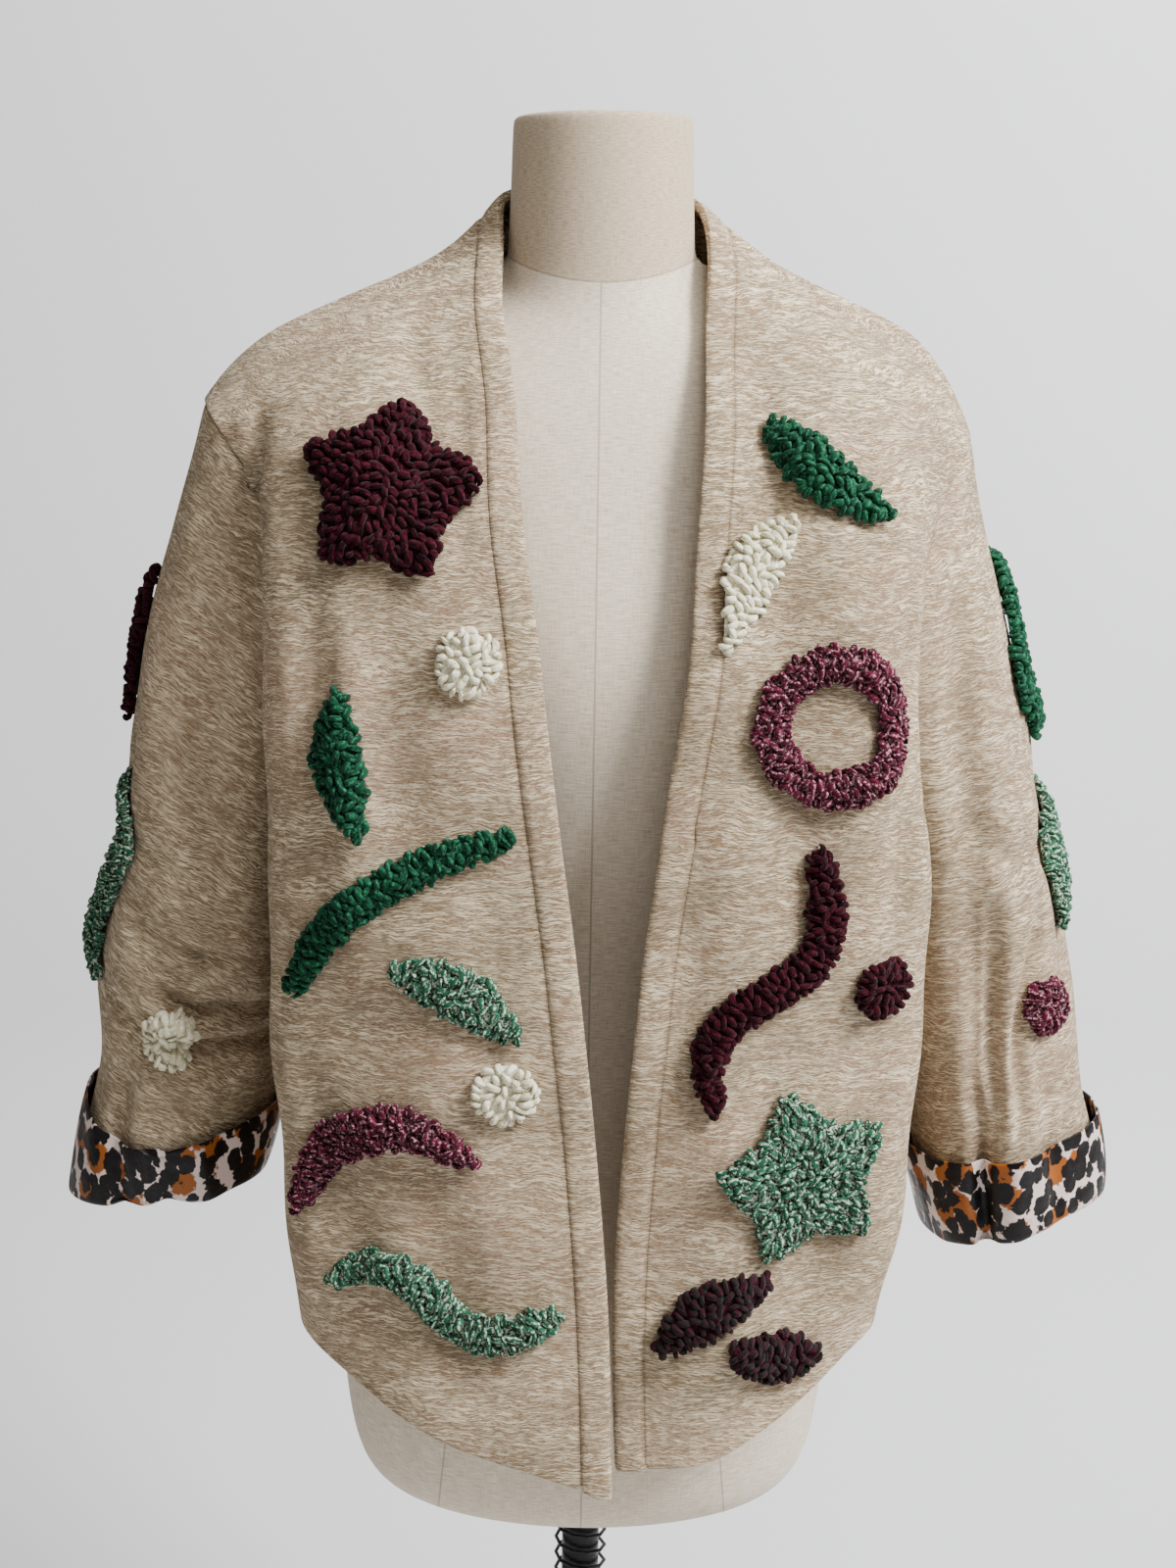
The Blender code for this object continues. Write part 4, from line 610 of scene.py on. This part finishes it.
class Drape:
    """Moves points of the cloth by its creases and its slow swell."""

    def __init__(self, cloth, cuffs):
        self.lines = []
        for crease in CREASES:
            line = np.array(crease.line)
            steps = np.linspace(0, len(line) - 1, CREASE_STEPS)
            places = np.stack([np.interp(steps, range(len(line)), line[:, k])
                               for k in (0, 1)], axis=1)
            tree = cuffs if crease.view == "cuffs" else cloth
            found = [on_cloth(tree, crease.view, *place) for place in places]
            along, axis = VIEWS[crease.view]
            level = np.array([np.inf if pair is None else pair[0].dot(along) for pair in found])
            met = np.flatnonzero(level < level.min() + CREASE_JUMP)
            points = np.zeros((len(found), 3))
            normals = np.zeros_like(points)
            for k, place in enumerate(places):
                close = met[np.abs(met - k).argmin()]
                points[k] = found[close][0]
                points[k][axis], points[k][2] = place
                normals[k] = found[close][1]
            self.lines.append((crease, points, normals))

    def moved(self, points):
        points = np.asarray(points, float)
        shift = np.zeros_like(points)
        for crease, line, normals in self.lines:
            reach = crease.width * CREASE_REACH
            near = np.flatnonzero(((points > line.min(0) - reach)
                                   & (points < line.max(0) + reach)).all(1))
            if len(near) == 0:
                continue
            gaps = points[near, None, :] - line[None, :, :]
            far = np.linalg.norm(gaps, axis=2)
            place = far.argmin(axis=1)
            gap = gaps[np.arange(len(near)), place]
            below = (gap * normals[place]).sum(axis=1)
            nearest = np.sqrt(np.maximum((gap ** 2).sum(axis=1) - below ** 2, 0))
            share = place / (len(line) - 1)
            taper = np.sin(np.pi * np.clip(share, 0.02, 0.98)) ** CREASE_TAPER
            press = crease.depth * np.exp(-(nearest / crease.width) ** 2) * taper
            press *= np.exp(-(below / CREASE_DEEP) ** 4)
            shift[near] -= normals[place] * press[:, None]
        swell = sum(np.sin(points @ np.array(wave) + phase) for wave, phase in SWELL)
        out = points * np.array(SWELL_OUTWARD)
        out /= np.maximum(np.linalg.norm(out, axis=1, keepdims=True), SWELL_CORE)
        return points + shift + out * (SWELL_DEPTH * swell)[:, None]


def add_piece(name, mesh, material, nodes):
    mesh.shade_smooth()
    mesh.materials.clear()
    mesh.materials.append(material)
    piece = bpy.data.objects.new(name, mesh)
    bpy.context.scene.collection.objects.link(piece)
    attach(piece, BODY)
    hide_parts(*nodes)
    return piece


# Cut of each cloth piece: flat width and length in metres, area in square
# metres, how it is held and what it rests on
Cut = namedtuple("Cut", "width length area held rests")


def add_cloth(node, mesh, drape, material):
    set_points(mesh, drape.moved(get_points(mesh)))
    piece = add_piece("cloth_" + node, mesh, material, [node])
    return piece


def lump_template():
    """Points, faces and strand coordinates of one lump of yarn, lying along X."""
    points, tilt = [], np.linspace(0, math.pi, LUMP_STEPS + 1)
    for i, angle in enumerate(tilt):
        share = i / LUMP_STEPS
        x = -LUMP_LENGTH / 2 * math.cos(angle)
        z = LUMP_RISE * (math.sin(angle) - LUMP_DROOP * abs(math.cos(angle)) ** 3)
        taper = math.sin(math.pi * (LUMP_NOSE + (1 - 2 * LUMP_NOSE) * share))
        radius = LUMP_RADIUS * taper ** LUMP_BLUNT
        for j in range(LUMP_SIDES):
            turn = 2 * math.pi * j / LUMP_SIDES
            points.append((x, radius * math.cos(turn), z + radius * math.sin(turn)))
    faces, corners = [], []
    for i in range(LUMP_STEPS):
        for j in range(LUMP_SIDES):
            k = (j + 1) % LUMP_SIDES
            a, b = i * LUMP_SIDES + j, i * LUMP_SIDES + k
            faces.append((a, a + LUMP_SIDES, b + LUMP_SIDES, b))
            u0, u1 = j / LUMP_SIDES, (j + 1) / LUMP_SIDES
            v0, v1 = i / LUMP_STEPS, (i + 1) / LUMP_STEPS
            corners += [(u0, v0), (u0, v1), (u1, v1), (u1, v0)]
    last = LUMP_STEPS * LUMP_SIDES
    caps = [tuple(range(LUMP_SIDES)),
            tuple(last + j for j in reversed(range(LUMP_SIDES)))]
    corners += [(0.5, 0.0)] * LUMP_SIDES + [(0.5, 1.0)] * LUMP_SIDES
    return np.array(points), faces + caps, corners


def along_stroke(node, spot, normal, points, centre):
    """The way a stroke runs at a spot, from the spread of the points round it."""
    if node.startswith(ROUND_KINDS):
        spoke = spot - centre
        way = np.cross(normal, spoke)
        if np.linalg.norm(way) > 1e-4:
            return way / np.linalg.norm(way)
    near = points[np.linalg.norm(points - spot, axis=1) < STROKE_REACH]
    spread = near - near.mean(axis=0)
    way = np.linalg.svd(spread, full_matrices=False)[2][0]
    way = way - normal * way.dot(normal)
    return way / max(np.linalg.norm(way), 1e-9)


def lump_places(node, mesh, cloth, random):
    """Evenly scattered places over a pile: spot, normal, stroke's way and cloth point."""
    mesh.calc_loop_triangles()
    points = get_points(mesh)
    centre = points.mean(axis=0)
    triangles = np.array([tuple(t.vertices) for t in mesh.loop_triangles])
    a, b, c = (points[triangles[:, k]] for k in range(3))
    cross = np.cross(b - a, c - a)
    area = np.linalg.norm(cross, axis=1) / 2
    normals = cross / np.maximum(2 * area, 1e-12)[:, None]
    keep = []
    for middle, normal in zip((a + b + c) / 3, normals):
        foot, _, _, far = cloth.find_nearest(Vector(middle))
        keep.append(far > PILE_FLOOR and Vector(normal).dot(Vector(middle) - foot) > 0)
    weights = area * np.array(keep)
    count = int(weights.sum() / (LUMP_PITCH[0] * LUMP_PITCH[1]) * LUMP_DARTS)
    picks = random.choice(len(area), count, p=weights / weights.sum())
    u, v = random.random((2, count, 1))
    flip = u + v > 1
    u, v = np.where(flip, 1 - u, u), np.where(flip, 1 - v, v)
    spots = a[picks] + u * (b[picks] - a[picks]) + v * (c[picks] - a[picks])
    taken = []
    kept = np.zeros((0, 3))
    for spot, pick in zip(spots, picks):
        normal = normals[pick]
        close = kept[np.linalg.norm(kept - spot, axis=1) < LUMP_PITCH[1]]
        way = None
        if len(close):
            way = along_stroke(node, spot, normal, points, centre)
            gaps = close - spot
            along = gaps @ way
            across = gaps @ np.cross(normal, way)
            if ((along / LUMP_PITCH[0]) ** 2 + (across / LUMP_PITCH[1]) ** 2 < 1).any():
                continue
        if way is None:
            way = along_stroke(node, spot, normal, points, centre)
        kept = np.vstack([kept, spot])
        foot = cloth.find_nearest(Vector(spot))[0]
        taken.append((spot, normal, way, np.array(foot)))
    return taken


def lump_turn(normal, way, random):
    """Rotation that lays a lump across its stroke, a little askew."""
    across = np.cross(normal, way)
    skew = random.normal(0, LUMP_SCATTER)
    x = across * math.cos(skew) + way * math.sin(skew) + normal * random.normal(0, LUMP_TILT)
    x /= np.linalg.norm(x)
    y = np.cross(normal, x)
    y /= np.linalg.norm(y)
    return np.stack([x, y, np.cross(x, y)], axis=1)


def add_tuft(node, cloth, drape, material, number):
    """One applique: its bed of backing and its lumps of yarn, as one mesh."""
    random = np.random.default_rng(SEED + number)
    bed = refined(node, PLAIN_LEVELS, SOLID_SHARP, TUFT_RIM)
    places = lump_places(node, bed, cloth, random)
    bed_points = get_points(bed)
    feet = np.array([cloth.find_nearest(Vector(point))[0] for point in bed_points])
    bed_points = feet + (bed_points - feet) * BED_SHARE
    bed_faces = [list(polygon.vertices) for polygon in bed.polygons]
    template, lump_faces, corners = lump_template()
    points = [bed_points]
    faces = list(bed_faces)
    uv = [(0.5, 0.5)] * sum(len(face) for face in bed_faces)
    tints = [np.zeros(len(bed_points))]
    start = len(bed_points)
    for spot, normal, way, foot in places:
        turn = lump_turn(normal, way, random)
        size = random.uniform(*LUMP_SIZES, 3)
        base = foot + (spot - foot) * BED_SHARE
        points.append(base + (template * size) @ turn.T)
        faces += [[start + i for i in face] for face in lump_faces]
        uv += corners
        tints.append(np.full(len(template), random.uniform(*TINTS)))
        start += len(template)
    mesh = bpy.data.meshes.new("tuft_" + node)
    mesh.from_pydata(drape.moved(np.concatenate(points)).tolist(), [], faces)
    layer = mesh.uv_layers.new(name="strand")
    layer.data.foreach_set("uv", np.array(uv, np.float32).ravel())
    tint = mesh.attributes.new("tint", "FLOAT", "POINT")
    tint.data.foreach_set("value", np.concatenate(tints).astype(np.float32))
    bpy.data.meshes.remove(bed)
    return add_piece("tuft_" + node, mesh, material, [node])


def add_form(material):
    mesh = refined("dress_form", PLAIN_LEVELS, SOLID_SHARP, FORM_RIM)
    return add_piece("form_torso", mesh, material, ["dress_form"])


def dress_stand(material):
    for node in STAND_NODES:
        frame["nodes"][node].data.materials.clear()
        frame["nodes"][node].data.materials.append(material)


# Stage: a wide floor, and a backdrop that sweeps up from it, only as wide as the
# picture needs, so that the part can be seen from behind past its sides
STAGE_HALF = 4.0
BACKDROP_WIDTH = 1.6
BACKDROP_PLACE = 1.1
BACKDROP_TOP = 2.4
BACKDROP_BEND = 0.5
BACKDROP_STEPS = 16


def add_strip(name, profile, width, material):
    """A sheet of the stage through a profile of (y, z), level across X."""
    points = [(x, y, z) for y, z in profile for x in (-width / 2, width / 2)]
    faces = [(2 * i, 2 * i + 1, 2 * i + 3, 2 * i + 2) for i in range(len(profile) - 1)]
    mesh = bpy.data.meshes.new(name)
    mesh.from_pydata(points, [], faces)
    mesh.shade_smooth()
    mesh.materials.append(material)
    strip = bpy.data.objects.new(name, mesh)
    bpy.context.scene.collection.objects.link(strip)


def add_stage():
    paint = stage_material()
    add_strip("stage_floor", [(-STAGE_HALF, 0.0), (STAGE_HALF, 0.0)], 2 * STAGE_HALF, paint)
    sweep = []
    for i in range(BACKDROP_STEPS + 1):
        angle = math.pi / 2 * i / BACKDROP_STEPS
        sweep.append((BACKDROP_PLACE - BACKDROP_BEND * (1 - math.sin(angle)),
                      BACKDROP_BEND * (1 - math.cos(angle))))
    sweep.append((BACKDROP_PLACE, BACKDROP_TOP))
    add_strip("stage_backdrop", sweep, BACKDROP_WIDTH, paint)


# Lights: name, place, what it looks at, size in metres, power in watts, colour
Light = namedtuple("Light", "name place target size power colour")
LIGHTS = (
    Light("key", (1.9, -1.15, 3.0), (0.05, 0, 1.15), 1.0, 225, (0.98, 0.99, 1.0)),
    Light("fill", (-2.2, -2.0, 1.5), (0, 0, 1.0), 2.2, 5, (1.0, 0.94, 0.86)),
    Light("top", (0.5, -0.8, 3.2), (0, 0, 1.2), 1.2, 34, (1.0, 1.0, 1.0)),
    Light("wall", (2.4, 0.0, 2.2), (0.7, 1.1, 1.4), 1.2, 50, (0.94, 0.98, 1.0)),
)


SKY_COLOUR = (232, 228, 222)
SKY_STRENGTH = 0.28


def add_lights():
    for light in LIGHTS:
        data = bpy.data.lights.new(light.name, "AREA")
        data.size = light.size
        data.energy = light.power
        data.color = light.colour
        lamp = bpy.data.objects.new(light.name, data)
        lamp.location = light.place
        aim = Vector(light.target) - Vector(light.place)
        lamp.rotation_euler = aim.to_track_quat("-Z", "Y").to_euler()
        bpy.context.scene.collection.objects.link(lamp)
    world = bpy.data.worlds.new("studio")
    world.use_nodes = True
    sky = world.node_tree.nodes["Background"]
    sky.inputs["Color"].default_value = linear(*SKY_COLOUR)
    sky.inputs["Strength"].default_value = SKY_STRENGTH
    bpy.context.scene.world = world


SLEEVE_LEAN = {"sleeve_right": math.radians(-28), "sleeve_left": math.radians(12)}


def main():
    add_camera()
    add_stage()
    add_lights()
    level = wool_material("wool_level", 0.0)
    cloths = {}
    for node in WOOL_NODES:
        levels = FINE_LEVELS if node in FINE_NODES else PLAIN_LEVELS
        cloths[node] = refined(node, levels, WOOL_SHARP, WOOL_RIM)
    close_seams(cloths)
    tree = surface_tree(cloths.values())
    cuffs = {node: refined(node, FINE_LEVELS, CUFF_SHARP, CUFF_RIM) for node in CUFF_NODES}
    drape = Drape(tree, surface_tree(cuffs.values()))
    yarns = {slot: yarn_material(slot) for slot in YARNS}
    tufts = [(entry["node"], entry["material_slot"])
             for entry in frame["record"]["subparts"] if entry["material_slot"] in YARNS]
    for number, (node, slot) in enumerate(tufts, 1):
        add_tuft(node, tree, drape, yarns[slot], number)
    for node, mesh in cloths.items():
        lean = SLEEVE_LEAN.get(node)
        wool = level if lean is None else wool_material("wool_" + node, lean)
        add_cloth(node, mesh, drape, wool)
    satin = leopard_material()
    for node, mesh in cuffs.items():
        add_cloth(node, mesh, drape, satin)
    add_form(linen_material())
    dress_stand(metal_material())


main()
